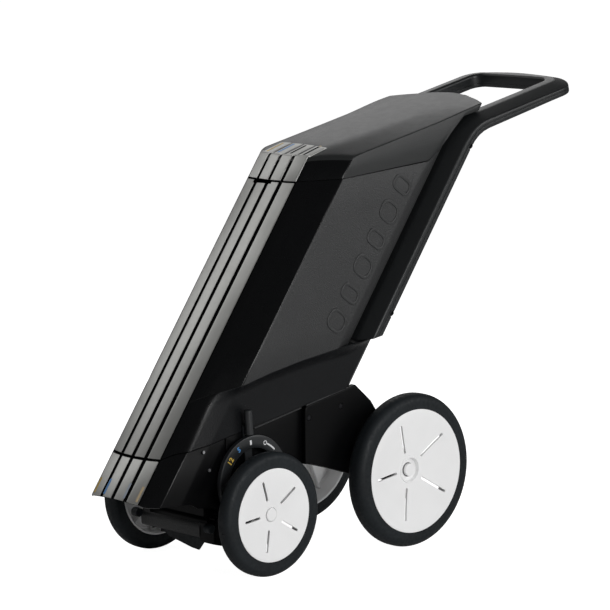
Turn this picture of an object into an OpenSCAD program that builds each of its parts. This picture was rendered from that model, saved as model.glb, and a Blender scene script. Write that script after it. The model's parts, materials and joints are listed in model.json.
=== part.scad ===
// Four-wheeled cart that lays dry chalk lines on a sports field.
// The hopper leans back to the push handle. The front axle turns the feed rotor,
// and a lever on a dial turns a sleeve valve that sets the width of the line.

/* [Hopper] */
// Lean of the hopper from the vertical, in degrees
lean = 34.8; // [33:0.1:36]
// Half width of the ribbed front panel
panel_half = 68.75; // [64:0.25:72]
// Half width of the hopper behind its bevelled front corners
body_half = 130; // [126:1:132]
// Depth of the upper hopper, from front panel to rear wall
hopper_depth = 262; // [255:1:266]
// Wall thickness of the mouldings
wall = 3.2; // [2.4:0.1:4]
// Forward bulge of the front panel at its middle
panel_bulge = 7; // [4:0.5:8]

/* [Lid] */
// Slope of the lid's top, in degrees
lid_slope = 13.1; // [12:0.1:14]
// Rise of the lid's crown at the middle
lid_crown = 11.1; // [8:0.1:12]

/* [Handle] */
// Half width over the two handle arms
handle_half = 157; // [154:1:160]
// Inner half width of the grip opening
grip_half = 102; // [100:1:104]
// Thickness of the handle arms
arm_t = 34; // [32:1:36]
// Rearmost reach of the handle, from the front axle
handle_reach = 860; // [855:1:865]

/* [Front wheels] */
// Rolling radius of a front wheel
front_r = 119; // [117:0.5:121]
// Radius of the front wheel's white disc
front_disc_r = 89.7; // [86:0.1:92]
// Distance from the middle of the cart to a front wheel's outer face
front_out = 183.6; // [182:0.1:186]
// Width of a front tyre
front_tyre_w = 34; // [32:0.5:36]

/* [Rear wheels] */
// Rolling radius of a rear wheel
rear_r = 152.2; // [150:0.1:154]
// Radius of the rear wheel's white disc
rear_disc_r = 122.6; // [119:0.1:125]
// Distance from the middle of the cart to a rear wheel's outer face
rear_out = 180.6; // [178:0.1:182]
// Width of a rear tyre
rear_tyre_w = 44; // [41:0.5:45]
// Distance from the front axle to the rear axle
wheelbase = 380; // [378:1:382]

/* [Feed] */
// Gear module
gear_m = 2; // [2:1:2]
// Teeth on the front axle's gear
axle_teeth = 36; // [36:1:36]
// Teeth on the feed rotor's gear
feed_teeth = 24; // [24:1:24]
// Teeth on the agitator's gear
agitator_teeth = 32; // [32:1:32]
// Number of vanes on the feed rotor
vanes = 8; // [6:1:10]

/* [Dial] */
// Outer radius of the dial ring
dial_r = 85.5; // [84:0.5:87]
// Inner radius of the dial ring
dial_in = 61; // [60:0.5:63]
// Diameter of the lever's pin
lever_d = 15; // [13:1:16]
// Reach of the lever's pin from the dial's centre
lever_reach = 136; // [132:1:138]

/* [Hidden] */
$fn = 48;
eps = 0.1;
big = 2000;

// Heights of the shafts over the ground
axle_z = front_r;
feed_z = axle_z + gear_m * (axle_teeth + feed_teeth) / 2;
agitator_z = feed_z + gear_m * (feed_teeth + agitator_teeth) / 2;

// Point on the front panel, at its lower seam, where the leaning frame starts
seam_y = -183.3;
seam_z = 231.8;
// Steps along the lean to the nose's lower tip and to the lid's front edge
nose_drop = 94;
lid_front_u = 653.5;

// Shafts, fits and the wall gap between neighbouring mouldings
axle_r = 5;
rear_axle_r = 6;
// Sleeve of each rear hub on its axle: inner end, and the seat of the washer
hub_in = 123;
hub_seat = 143;
shaft_r = 4;
run = 0.05;
gap = 0.4;
skin = 1.5;

// Bevelled front corner and rear corner of the leaning section
bevel_n = 50;
rear_half = 136;
low_rear_n = 312;

// Feed: sleeve valve inside its housing
bore_r = 30;
sleeve_r = bore_r - run;
sleeve_in = 26.5;
housing_r = 38;
housing_half = 72;
outlet_turn = 140;
hub_r = 20;

// Chassis side plates and outer skins
plate_x = 84;
plate_t = 6;
cover_x = 106;
cover_t = 4;
raised_x = 117;

// Angles about the dial, from straight up and positive towards the front
lever_rest = 5;
wide_mark = 54.5;
narrow_mark = 32;
plain_mark = 7;
closed_mark = -34.5;

// Lid hinge
hinge_y = 634;
hinge_z = 852;

// The frame's origin lies on the ground under the middle of the cart's length
nose_y = seam_y - nose_drop * sin(lean) - panel_bulge * cos(lean);
mid_y = (nose_y + handle_reach) / 2;

// ---- placing ----

// Axle frame to part frame
module place() {
    translate([0, -mid_y, 0]) children();
}

// Leaning frame: x across, y into the hopper, z up the lean
module leaning() {
    translate([0, seam_y, seam_z]) rotate([-lean, 0, 0]) children();
}

// Point at depth n and height u in the leaning frame, as [y, z]
function lean_yz(n, u) = [
    seam_y + n * cos(lean) + u * sin(lean),
    seam_z - n * sin(lean) + u * cos(lean)
];

// Slab between x0 and x1 whose outline is a list of [y, z] points
module side_slab(points, x0, x1) {
    translate([x0, 0, 0]) rotate([90, 0, 90]) linear_extrude(x1 - x0) polygon(points);
}

// Cylinder along X between x0 and x1 at [y, z]
module x_cyl(r, x0, x1, y, z) {
    translate([x0, y, z]) rotate([0, 90, 0]) cylinder(r = r, h = x1 - x0);
}

// Box from its lowest to its highest corner
module box(low, high) {
    translate(low) cube(high - low);
}

// Both sides of the cart
module both_sides() {
    children();
    mirror([1, 0, 0]) children();
}

// ---- outlines of the leaning section ----

// Depth of the bulged front panel at x
function panel_n(x) = -panel_bulge * (1 - pow(x / panel_half, 2));

function panel_arc(inset, from, to, steps) = [
    for (i = [0 : steps])
        let (x = from + (to - from) * i / steps) [x, panel_n(x) + inset]
];

// Upper hopper, inset by g
function upper_section(g) = concat(
    panel_arc(g + skin, -panel_half, panel_half, 12),
    [
        [body_half - g, bevel_n + g / 2], [rear_half - g, 225],
        [128 - g, 250 - g / 2], [112 - g, hopper_depth - g],
        [-112 + g, hopper_depth - g], [-128 + g, 250 - g / 2],
        [-rear_half + g, 225], [-body_half + g, bevel_n + g / 2]
    ]
);

// Skirt and nose, inset by g
function lower_section(g) = concat(
    panel_arc(g + skin, -panel_half, panel_half, 12),
    [
        [99 - g, 25 + g / 2], [109 - g, 60], [111 - g, 150], [122 - g, low_rear_n - 14],
        [112 - g, low_rear_n - g], [-112 + g, low_rear_n - g],
        [-122 + g, low_rear_n - 14], [-111 + g, 150], [-109 + g, 60], [-99 + g, 25 + g / 2]
    ]
);

// Lid, with a bowed rear edge, inset by g
function lid_section(g) = concat(
    panel_arc(g + skin, -panel_half, panel_half, 12),
    [
        [body_half - g, bevel_n + g / 2], [133 - g, 262], [132 - g, 282 - g],
        [100 - g, 303 - g], [50, 320 - g], [0, 325 - g], [-50, 320 - g],
        [-100 + g, 303 - g], [-132 + g, 282 - g], [-133 + g, 262], [-body_half + g, bevel_n + g / 2]
    ]
);

// ---- side outlines in [y, z] ----

// Lid seam, its lower edge dropped by d
function lid_seam(d) = [[100, 724 - d], [165, 729 - d], [464, 755 - d], [552, 836 - d], [690, 862 - d]];

// Crease where the skirt starts, and the seam under the skirt
crease = [[-300, 262], [-130, 325], [-29, 363], [118, 395], [296, 422], [420, 441]];
skirt_seam = [[-300, 215], [-183.3, 231.8], [-160, 243], [272, 330], [420, 360]];

function reversed(list) = [for (i = [len(list) - 1 : -1 : 0]) list[i]];
function raised(list, d) = [for (p = list) [p[0], p[1] + d]];

// ---- hopper ----

// Leaning prism with one of the section outlines
module prism(points) {
    leaning() translate([0, 0, -200]) linear_extrude(1400) polygon(points);
}

// Slab between two side lines, the lower one first
module band(low_line, high_line) {
    side_slab(concat(low_line, reversed(high_line)), -200, 200);
}

lip = 7;

module hopper_shell() {
    color("dimgray") place() difference() {
        union() {
            // leaning tube over the crease
            difference() {
                intersection() {
                    prism(upper_section(0));
                    band(raised(crease, -eps), lid_seam(0.5));
                }
                prism(upper_section(wall));
            }
            // lip round the mouth, where the lid's seal rests
            difference() {
                intersection() {
                    prism(upper_section(wall / 2));
                    band(lid_seam(4.5), lid_seam(0.5));
                }
                prism(upper_section(wall + lip));
            }
            // ledge at the crease, from the skirt's wall out to the tube's wall
            difference() {
                intersection() {
                    union() {
                        prism(upper_section(0));
                        prism(lower_section(0));
                    }
                    band(raised(crease, -wall), crease);
                }
                intersection() {
                    prism(upper_section(wall));
                    prism(lower_section(wall));
                }
            }
            // skirt
            difference() {
                intersection() {
                    prism(lower_section(0));
                    band(skirt_seam, raised(crease, -eps));
                }
                prism(lower_section(wall));
            }
        }
        finger_notch(wall);
    }
}

// Recess under the lid's front edge for the fingers
module finger_notch(depth) {
    leaning() box([-43, -20, 592], [11, depth - 1, 605]);
}

// Tilted rim of the funnel: depth in the leaning frame to distance along the rim
rim_front = [-130, 317];
rim_tilt = 13.1;
rim_n = (rim_front[0] - seam_y) * cos(lean) - (rim_front[1] - seam_z) * sin(lean);
function rim_t(n) = (n - rim_n) / cos(lean + rim_tilt);

module funnel_form(g) {
    hull() {
        translate([0, rim_front[0], rim_front[1]]) rotate([rim_tilt, 0, 0]) linear_extrude(1) polygon([
            [-58 + g, rim_t(12) + g], [58 - g, rim_t(12) + g], [90 - g, rim_t(32)], [103 - g, rim_t(64)],
            [103 - g, rim_t(250) - g], [-103 + g, rim_t(250) - g], [-103 + g, rim_t(64)], [-90 + g, rim_t(32)]
        ]);
        box([-68 + g, -22 + g, 217], [68 - g, 22 - g, 218]);
    }
}

module funnel() {
    color("gray") place() difference() {
        funnel_form(0);
        translate([0, 0, eps + 1]) funnel_form(2.4);
        box([-65, -19, 210], [65, 19, 222]);
        x_cyl(shaft_r + 0.5, -110, 110, 0, agitator_z);
    }
}

// ---- front strips and sighting marks ----

strip_edges = [-67.5, -34.2, 0, 34.2, 67.5];
groove = 8.4;

// Strip i between heights u0 and u1 of the leaning frame
module strip_bar(i, u0, u1) {
    x0 = strip_edges[i - 1] + (i > 1 ? groove / 2 : 0);
    x1 = strip_edges[i] - (i < 4 ? groove / 2 : 0);
    leaning() translate([0, 0, u0]) linear_extrude(u1 - u0) polygon(concat(
        panel_arc(0, x0, x1, 6), reversed(panel_arc(skin - eps, x0, x1, 6))
    ));
}

module hopper_strip(i) {
    color("silver") place() difference() {
        intersection() {
            strip_bar(i, -40, 700);
            side_slab(concat(raised(skirt_seam, 0.6), reversed(lid_seam(0.6))), -200, 200);
        }
        finger_notch(wall);
    }
}

module nose_strips() {
    color("silver") place() for (i = [1 : 4]) intersection() {
        strip_bar(i, -nose_drop, 60);
        side_slab(concat([[-400, 100], [0, 100]], reversed(raised(skirt_seam, -0.6))), -200, 200);
    }
}

module lid_strips() {
    color("silver") place() for (i = [1 : 4]) intersection() {
        strip_bar(i, 560, lid_front_u);
        side_slab(concat(lid_seam(-0.6), [[690, 1000], [100, 1000]]), -200, 200);
    }
}

// Pair of sighting marks on the nose, at plus and minus x
module nose_marks(x) {
    place() for (s = [-1, 1])
        leaning() translate([s * x - 2.5, panel_n(x) - 0.6, -nose_drop + 6]) cube([5, 0.9, 30]);
}

module nose_marks_wide() { color("gold") nose_marks(62); }
module nose_marks_narrow() { color("deepskyblue") nose_marks(25); }

// ---- nose ----

nose_outline = concat(
    [[-400, 100], [-240, 100], [-238, 147], [-146, 149], [-100, 100], [-58, 100]],
    [[-58, 263.4]], [for (i = [2 : -1 : 0]) skirt_seam[i] - [0, gap]], [[-400, 200]]
);

module nose_cover() {
    color("#303236") place() difference() {
        intersection() {
            leaning() translate([0, 0, -nose_drop]) linear_extrude(600) polygon(lower_section(0));
            side_slab(nose_outline, -200, 200);
        }
        leaning() translate([0, 0, -300]) linear_extrude(900) polygon(lower_section(wall));
        side_slab([[-110, 120], [-170, 60], [-50, 60], [-50, 120]], -130, 130);
    }
}

// ---- chassis ----

plate_outline = [
    [-95, 250], [-95, 116], [-78, 111], [-40, 92], [40, 92], [100, 150], [154, 186], [252, 158], [352, 131],
    [380, 128], [402, 142], [402, 163], [314, 290], [270, 326], [140, 300], [130, 250]
];
flange_y = [-56, 262];
belly_z = 176;

// Height of the seam under the skirt at y
function seam_height(y) = 243 + (y + 160) * (330 - 243) / (272 + 160);

module chassis() {
    color("#2b2d30") place() difference() {
        union() {
            both_sides() {
                side_slab(plate_outline, plate_x, plate_x + plate_t);
                x_cyl(22, plate_x - 8, plate_x + plate_t + 6, wheelbase, rear_r);
                x_cyl(14, plate_x - 6, plate_x + plate_t, 0, axle_z);
            }
            // top flange along the skirt's seam, round the funnel
            difference() {
                side_slab([
                    [flange_y[0], seam_height(flange_y[0]) - 4.5], [flange_y[1], seam_height(flange_y[1]) - 4.5],
                    [flange_y[1], seam_height(flange_y[1]) - gap], [flange_y[0], seam_height(flange_y[0]) - gap]
                ], -cover_x + gap, cover_x - gap);
                box([-102, -60, 200], [102, 140, 340]);
                box([-plate_x, 150, 200], [plate_x, 245, 340]);
            }
            // struts that carry the flange's rails beside the funnel
            both_sides() box([plate_x + 2, -56, 240], [cover_x - gap, -52, 262]);
            // cross walls and belly plate
            box([-plate_x, -95, 116], [plate_x, -91, 250]);
            box([-plate_x, 296, 150], [plate_x, 300, 305]);
            box([-plate_x, 200, belly_z], [plate_x, 300, belly_z + 4]);
        }
        both_sides() {
            x_cyl(rear_axle_r, 60, 120, wheelbase, rear_r);
            x_cyl(9, 60, 120, 0, axle_z);
            x_cyl(7, 60, 120, 0, agitator_z);
        }
        x_cyl(hub_r + run, 60, 120, 0, feed_z);
        x_cyl(7, -120, -60, 0, feed_z);
    }
}

recess_outline = [
    [-56, 104], [60, 100], [140, 178], [140, 302.9], [-56, 263.5]
];
raised_outline = [
    [138, 189], [154, 188], [252, 156], [356, 128], [380, 124], [406, 141], [406, 166],
    [314, 293], [272, 329.2], [138, 302.4]
];
cover_screw_yz = [[148, 279], [232, 292], [330, 222]];

// Outer skin of one side of the frame: a recessed front panel and a raised rear panel
module side_cover() {
    difference() {
        union() {
            side_slab(recess_outline, cover_x, cover_x + cover_t);
            side_slab(raised_outline, cover_x, raised_x + cover_t);
        }
        intersection() {
            side_slab([
                [143, 193], [252, 161], [356, 133], [384, 131], [401, 144], [401, 164],
                [311, 290], [271, 323], [143, 297]
            ], cover_x - eps, raised_x);
            box([0, 0, 0], [200, 600, 400]);
        }
        x_cyl(rear_axle_r + 4, 60, 140, wheelbase, rear_r);
        x_cyl(axle_r + 3, 60, 140, 0, axle_z);
        for (p = cover_screw_yz) {
            x_cyl(5.5, raised_x + 1, 140, p[0], p[1]);
            x_cyl(2.2, 90, 140, p[0], p[1]);
        }
    }
    for (p = cover_screw_yz) difference() {
        x_cyl(6, plate_x + plate_t + gap, raised_x + eps, p[0], p[1]);
        x_cyl(2.2, 80, 140, p[0], p[1]);
    }
}

module side_cover_right() {
    color("#34373b") place() difference() {
        side_cover();
        x_cyl(hub_r + 3, 60, 140, 0, feed_z);
    }
}

module side_cover_left() {
    color("#34373b") place() mirror([1, 0, 0]) side_cover();
}

// Pan-head screw along X with its head's outer face at x
module x_screw(x, y, z, head_r = 4.4, length = 26) {
    x_cyl(head_r, x - 2.5, x, y, z);
    x_cyl(1.9, x - length, x - 2.4, y, z);
}

module cover_screws() {
    color("silver") place() both_sides() for (p = cover_screw_yz) x_screw(raised_x + 3.7, p[0], p[1], 4.4, 24);
}

// Screws on the nose's sides
nose_screw_yz = [[-112, 244], [-98, 208]];

module frame_screws() {
    color("silver") place() both_sides() for (p = nose_screw_yz) x_cyl(3, 109.2, 111.5, p[0], p[1]);
}

// ---- feed ----

module feed_housing() {
    color("gray") place() difference() {
        union() {
            x_cyl(housing_r, -housing_half - 4, plate_x - gap, 0, feed_z);
            box([-housing_half + 2, -24, feed_z], [housing_half - 2, 24, 216.8]);
            // outlet neck
            translate([0, 0, feed_z]) rotate([outlet_turn, 0, 0])
                box([-66, -9, 20], [66, 9, housing_r + 8]);
        }
        x_cyl(bore_r, -housing_half, housing_half + 4, 0, feed_z);
        x_cyl(hub_r + 0.3, 0, plate_x + 1, 0, feed_z);
        x_cyl(shaft_r + 0.5, -housing_half - 5, 0, 0, feed_z);
        box([-65, -12, feed_z], [65, 12, 230]);
        difference() {
            box([-65, -20, feed_z + bore_r], [65, 20, 230]);
            x_cyl(housing_r, -70, 70, 0, feed_z);
        }
        translate([0, 0, feed_z]) rotate([outlet_turn, 0, 0]) box([-61, -4.2, 10], [61, 4.2, housing_r + 20]);
    }
}

// Flared outlet in front of the axle: [y, z] corners of its side walls
chute_outline = [[-83, 70], [-83, 110], [-64, 138], [-20, 138], [-16, 132], [-44, 70]];

module chute() {
    color("#3d4145") place() difference() {
        side_slab(chute_outline, -83.5, 83.5);
        side_slab([[-80, 60], [-80, 109], [-62, 135], [-24, 135], [-20, 132], [-49, 60]], -80, 80);
        translate([0, 0, feed_z]) rotate([outlet_turn, 0, 0])
            box([-67, -10, 10], [67, 10, housing_r + 9]);
    }
    // wind wings beside the chute
    color("#3d4145") place() both_sides() {
        side_slab([[-83, 70], [-83, 110], [-79, 110], [-79, 70]], 83.4, 105);
        side_slab([[-83, 70], [-83, 110], [-60, 104], [-50, 70]], 102, 105);
    }
}

module wind_apron() {
    color("#26282b") place() difference() {
        union() {
            side_slab([[-79.5, 44], [-79.5, 84], [-77, 84], [-77, 44]], -79.4, 79.4);
            side_slab([[-58, 50], [-53, 84], [-50.5, 84], [-55.5, 50]], -79.4, 79.4);
            both_sides() side_slab([[-79, 52], [-79, 84], [-51, 84], [-57, 52]], 77, 79.4);
        }
        for (s = [-1, 1]) translate([s * 79.4, -90, 44]) rotate([0, s * 30, 0]) box([-40, 0, -30], [40, 60, 0]);
    }
}

module flanged_bush(x0, x1, flange_x, flange_r, body_r, bore, y, z) {
    difference() {
        union() {
            x_cyl(body_r, x0, x1, y, z);
            x_cyl(flange_r, flange_x, flange_x + 2, y, z);
        }
        x_cyl(bore, min(x0, flange_x) - 1, x1 + 5, y, z);
    }
}

module front_bush() {
    flanged_bush(plate_x - 6, plate_x + plate_t, plate_x + plate_t, 12, 9, axle_r + run, 0, axle_z);
}

module front_bush_right() { color("white") place() front_bush(); }
module front_bush_left() { color("white") place() mirror([1, 0, 0]) front_bush(); }

// Bushes of the feed shaft and of the agitator
module shaft_bushes() {
    color("white") place() {
        mirror([1, 0, 0]) flanged_bush(plate_x, plate_x + plate_t, plate_x - 2, 9, 7, shaft_r + run, 0, feed_z);
        both_sides() flanged_bush(plate_x, plate_x + plate_t, plate_x - 2, 9, 7, shaft_r + run, 0, agitator_z);
    }
}

// ---- rear axle ----

module rear_axle() {
    color("silver") place() x_cyl(rear_axle_r, -hub_seat - 8, hub_seat + 8, wheelbase, rear_r);
}

module axle_spacer() {
    difference() {
        x_cyl(9, plate_x + plate_t + 6.2, hub_in - 0.5, wheelbase, rear_r);
        x_cyl(rear_axle_r, 80, 140, wheelbase, rear_r);
    }
}

module axle_spacer_right() { color("gray") place() axle_spacer(); }
module axle_spacer_left() { color("gray") place() mirror([1, 0, 0]) axle_spacer(); }

module axle_nuts() {
    color("silver") place() both_sides() {
        difference() {
            x_cyl(13, hub_seat + 0.4, hub_seat + 2, wheelbase, rear_r);
            x_cyl(rear_axle_r, hub_seat - 10, hub_seat + 10, wheelbase, rear_r);
        }
        difference() {
            translate([hub_seat + 2, wheelbase, rear_r]) rotate([0, 90, 0]) cylinder(r = 10, h = 5, $fn = 6);
            x_cyl(rear_axle_r, hub_seat - 10, hub_seat + 10, wheelbase, rear_r);
        }
    }
}

// ---- dial ----

dial_x = 117.5;
dial_w = 10;
axle_clear = 2;

module dial_ring() {
    color("dimgray") place() {
        difference() {
            x_cyl(dial_r, dial_x, dial_x + dial_w, 0, feed_z, $fn = 96);
            x_cyl(dial_in, dial_x - 1, dial_x + dial_w + 1, 0, feed_z, $fn = 96);
            // the turning front axle passes through the ring's lower edge
            x_cyl(axle_r + axle_clear, dial_x - 1, dial_x + dial_w + 1, 0, axle_z);
        }
        for (a = [150, 200, 250, 290]) translate([0, 0, feed_z]) rotate([a, 0, 0])
            x_cyl(5, cover_x + cover_t, dial_x + 1, 0, (dial_r + dial_in) / 2);
    }
}

// Raised bar of a scale mark on the dial's face
module dial_bar(angle, width, height) {
    place() translate([dial_x + dial_w, 0, feed_z]) rotate([angle, 0, 0])
        translate([0, -width / 2, (dial_r + dial_in) / 2 - height / 2]) cube([0.5, width, height]);
}

module dial_marks_wide() { color("gold") dial_bar(wide_mark, 9, 9); }
module dial_marks_narrow() { color("deepskyblue") dial_bar(narrow_mark, 7, 9); }
module dial_marks_plain() {
    color("white") {
        dial_bar(plain_mark, 4, 9);
        dial_bar(closed_mark + 12.5, 8, 8);
        dial_bar(closed_mark - 3, 14, 3);
    }
}

// ---- handle ----

// Top line of the grip, its height at y
grip_slope = 0.2309;
function grip_top(y) = 843 + grip_slope * (y - 601);

// Corner where the arm's line turns into the grip's line, d under the outer face
function arm_bend(d) =
    let (
        p = lean_yz(hopper_depth + 0.4 + d, 0),
        rise = cos(lean) / sin(lean),
        y = (grip_top(0) - d - p[1] + rise * p[0]) / (rise - grip_slope)
    ) [y, grip_top(y) - d];

arm_foot_u = 424;

// Side outline of the handle between depths d0 and d1 under its outer face
function handle_outline(d0, d1) =
    let (
        foot_out = lean_yz(hopper_depth + 0.4 + d0, arm_foot_u),
        foot_in = lean_yz(hopper_depth + 0.4 + d1, arm_foot_u),
        // where the arm's line at depth d meets the grip's line at depth d
        turn = [14, 14 * grip_slope]
    ) [
        foot_out, arm_bend(d0) - 12 * [sin(lean), cos(lean)], arm_bend(d0) + turn,
        [handle_reach, grip_top(handle_reach) - d0], [handle_reach, grip_top(handle_reach) - d1],
        arm_bend(d1) + turn, arm_bend(d1) - 12 * [sin(lean), cos(lean)], foot_in
    ];

// Plan outline of the loop, inset by g
module loop_plan(g) {
    r_out = 48;
    r_in = 24;
    difference() {
        union() {
            translate([-handle_half + g, 200]) square([2 * (handle_half - g), handle_reach - r_out - 200]);
            translate([-handle_half + r_out, 200]) square([2 * (handle_half - r_out), handle_reach - 200 - g]);
            for (s = [-1, 1]) translate([s * (handle_half - r_out), handle_reach - r_out]) circle(r = r_out - g);
        }
        translate([-grip_half - g, 0]) square([2 * (grip_half + g), 834 - r_in]);
        translate([-grip_half + r_in, 0]) square([2 * (grip_half - r_in), 834 - g]);
        for (s = [-1, 1]) translate([s * (grip_half - r_in), 834 - r_in]) circle(r = r_in + g);
    }
}

module handle_part(d0, d1, g) {
    intersection() {
        side_slab(handle_outline(d0, d1), -200, 200);
        linear_extrude(1200) loop_plan(g);
        // the arms stand on the skirt's shoulder
        side_slab(concat(raised(crease, gap), [[1000, 500], [1000, 1200], [-300, 1200]]), -200, 200);
    }
}

front_t = 20;

module handle_front() {
    color("#4a4d50") place() difference() {
        handle_part(0, front_t, 0);
        handle_part(4, front_t + 0.01, 4);
        hinge_pocket();
    }
}

module handle_rear() {
    color("#4a4d50") place() difference() {
        handle_part(front_t + 0.2, arm_t, 0);
        hinge_pocket();
    }
}

// Room for the lid's overhanging rear corners
module hinge_pocket() {
    box([-grip_half - 1, 560, 700], [grip_half + 1, 640, 900]);
}

handle_screw_u = [480, 650, 820];

module handle_screws() {
    color("#222222") place() both_sides() for (u = handle_screw_u)
        leaning() translate([(handle_half + grip_half) / 2 + 6, hopper_depth + arm_t + 0.4, u])
            rotate([-90, 0, 0]) cylinder(r = 4.5, h = 1.6);
}

// ---- lid hinge ----

knuckle_x = [30, 60];
pin_r = 3;
ear_r = 9;
ear_slot = 12;

module hinge_bracket() {
    color("#2b2d30") place() difference() {
        union() {
            leaning() translate([0, 0, 820]) box([-95, hopper_depth + 0.3, 0], [95, hopper_depth + 8, 85]);
            both_sides() {
                side_slab([
                    lean_yz(hopper_depth + 4, 850), lean_yz(hopper_depth + 4, 904), [hinge_y - 6, hinge_z + 8],
                    [hinge_y + 8, hinge_z + 2], [hinge_y + 6, hinge_z - 9]
                ], knuckle_x[1], knuckle_x[1] + 8);
                x_cyl(ear_r, knuckle_x[1], knuckle_x[1] + 8, hinge_y, hinge_z);
            }
        }
        x_cyl(pin_r, -80, 80, hinge_y, hinge_z);
    }
}

module hinge_pin() {
    color("silver") place() x_cyl(pin_r, -70, 70, hinge_y, hinge_z);
}

// ---- lid ----

// Crowned cylinder whose top line runs along the lid's slope, sunk by g
crown_r = (pow(body_half, 2) + pow(lid_crown, 2)) / (2 * lid_crown);

module crown(g) {
    translate([0, 259, 776 + lid_crown - g]) rotate([lid_slope, 0, 0])
        translate([0, -big / 2, -crown_r]) rotate([-90, 0, 0]) cylinder(r = crown_r, h = big, $fn = 96);
}

module lid_form(g) {
    intersection() {
        leaning() translate([0, 0, 500]) linear_extrude(700) polygon(lid_section(g));
        crown(g);
        // front edge falls to the ribbed panel
        side_slab([
            [100, 600], [100, 700], [190.5 + g, 768.2 - g], [259, 800 - g],
            [700, 1000], [800, 1000], [800, 600]
        ], -200, 200);
    }
}

module lid_shell() {
    color("dimgray") place() difference() {
        union() {
            difference() {
                intersection() {
                    lid_form(0);
                    side_slab(concat(lid_seam(-0.5), [[690, 1000], [100, 1000]]), -200, 200);
                }
                intersection() {
                    lid_form(wall);
                    side_slab([
                        [100, 700], [464, 740], [556, 700], [700, 700], [700, 1000], [100, 1000]
                    ], -200, 200);
                }
            }
            // knuckles
            both_sides() {
                x_cyl(8, knuckle_x[0], knuckle_x[1] - 0.5, hinge_y, hinge_z);
                side_slab([
                    [hinge_y - 8, hinge_z], [hinge_y - 16, 864], [hinge_y + 4, 868], [hinge_y + 8, hinge_z]
                ], knuckle_x[0], knuckle_x[1] - 0.5);
            }
        }
        // bore of the knuckles, and a wider groove for the pin between them
        x_cyl(pin_r + run, -knuckle_x[1] - 1, knuckle_x[1] + 1, hinge_y, hinge_z);
        x_cyl(pin_r + 1, -knuckle_x[0], knuckle_x[0], hinge_y, hinge_z);
        // slots in the rear rim for the bracket's ears
        both_sides()
            box([knuckle_x[1] - 0.5, 600, 780], [knuckle_x[1] + ear_slot, 660, hinge_z + ear_r + 1.5]);
    }
}

module lid_marks(x) {
    place() for (s = [-1, 1]) intersection() {
        difference() {
            crown(-0.6);
            crown(0.1);
        }
        box([s * x - 2.5, 203, 700], [s * x + 2.5, 236, 900]);
    }
}

module lid_marks_wide() { color("gold") lid_marks(60); }
module lid_marks_narrow() { color("deepskyblue") lid_marks(25); }

module lid_seal() {
    color("black") place() difference() {
        intersection() {
            prism(upper_section(wall + 0.3));
            prism(lid_section(wall + 0.3));
            band([for (i = [0 : 3]) lid_seam(0.2)[i]], [for (i = [0 : 3]) lid_seam(-6)[i]]);
        }
        prism(upper_section(wall + lip - 1));
    }
}

// ---- wheels ----

// Tyre with a rounded tread, from inner face x0 to outer face x1
module tyre(r, r_in, x0, x1, y, z) {
    w = x1 - x0;
    c = w * 0.38;
    translate([x0, y, z]) rotate([0, 90, 0]) rotate_extrude($fn = 96) difference() {
        union() {
            translate([r_in, 0]) square([r - r_in - c, w]);
            translate([r_in, c]) square([r - r_in, w - 2 * c]);
            translate([r - c, c]) circle(r = c);
            translate([r - c, w - c]) circle(r = c);
        }
        translate([0, -1]) square([r_in, w + 2]);
    }
}

// How far the outer face of each wheel falls from the rim to the hub
front_dish = 9;
rear_dish = 20;
front_face = front_out - front_dish;
rear_face = rear_out - rear_dish;
disc_rim = 4;
disc_web = 4;
slot_turn = 22;

// Wheel disc with rim, web that falls to the hub, and five radial slots
module wheel_disc(r, x0, x1, dish, hub, bore, y, z, slot_from, slot_to) {
    face = x1 - dish;
    difference() {
        union() {
            translate([0, y, z]) rotate([0, 90, 0]) rotate_extrude($fn = 96) polygon([
                [hub - 2, face], [hub, face], [r - disc_rim, x1], [r, x1], [r, x0], [r - disc_rim, x0],
                [r - disc_rim, x1 - disc_web], [hub, face - disc_web], [hub - 2, face - disc_web]
            ]);
            x_cyl(hub, x0 + 0.5, face, y, z);
        }
        x_cyl(bore, x0 - 1, face - 3, y, z);
        for (a = [0 : 72 : 288]) translate([0, y, z]) rotate([a + slot_turn, 0, 0])
            box([face - disc_web - 1, -2.5, slot_from * r], [x1 + 1, 2.5, slot_to * r]);
    }
}

module front_disc() {
    wheel_disc(front_disc_r, front_out - front_tyre_w, front_out, front_dish, 14, axle_r, 0, axle_z, 0.33, 0.8);
}

module front_disc_right() { color("white") place() front_disc(); }
module front_disc_left() { color("white") place() mirror([1, 0, 0]) front_disc(); }

module front_tyre() {
    tyre(front_r, front_disc_r, front_out - front_tyre_w, front_out, 0, axle_z);
}

module front_tyre_right() { color("#3a3f44") place() front_tyre(); }
module front_tyre_left() { color("#3a3f44") place() mirror([1, 0, 0]) front_tyre(); }

module front_axle() {
    color("silver") place() {
        x_cyl(axle_r, -front_face + 3, front_face - 3, 0, axle_z);
        // collar that stops the axle sliding sideways
        x_cyl(8, plate_x + plate_t + 3, plate_x + plate_t + 8, 0, axle_z);
    }
}

// One wheel with its tyre, turning on the fixed rear axle
module rear_disc() {
    difference() {
        wheel_disc(rear_disc_r, rear_out - rear_tyre_w, rear_out, rear_dish, 17, 12, wheelbase, rear_r, 0.3, 0.82);
        x_cyl(14, hub_seat, rear_face - 3, wheelbase, rear_r);
        x_cyl(13, rear_face - 4, rear_face + 1, wheelbase, rear_r);
    }
    difference() {
        x_cyl(16, hub_in, hub_seat, wheelbase, rear_r);
        x_cyl(rear_axle_r + run, hub_in - 4, hub_seat + 5, wheelbase, rear_r);
    }
}

module rear_disc_right() { color("white") place() rear_disc(); }
module rear_disc_left() { color("white") place() mirror([1, 0, 0]) rear_disc(); }

module rear_tyre() {
    tyre(rear_r, rear_disc_r, rear_out - rear_tyre_w, rear_out, wheelbase, rear_r);
}

module rear_tyre_right() { color("#3a3f44") place() rear_tyre(); }
module rear_tyre_left() { color("#3a3f44") place() mirror([1, 0, 0]) rear_tyre(); }

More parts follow.
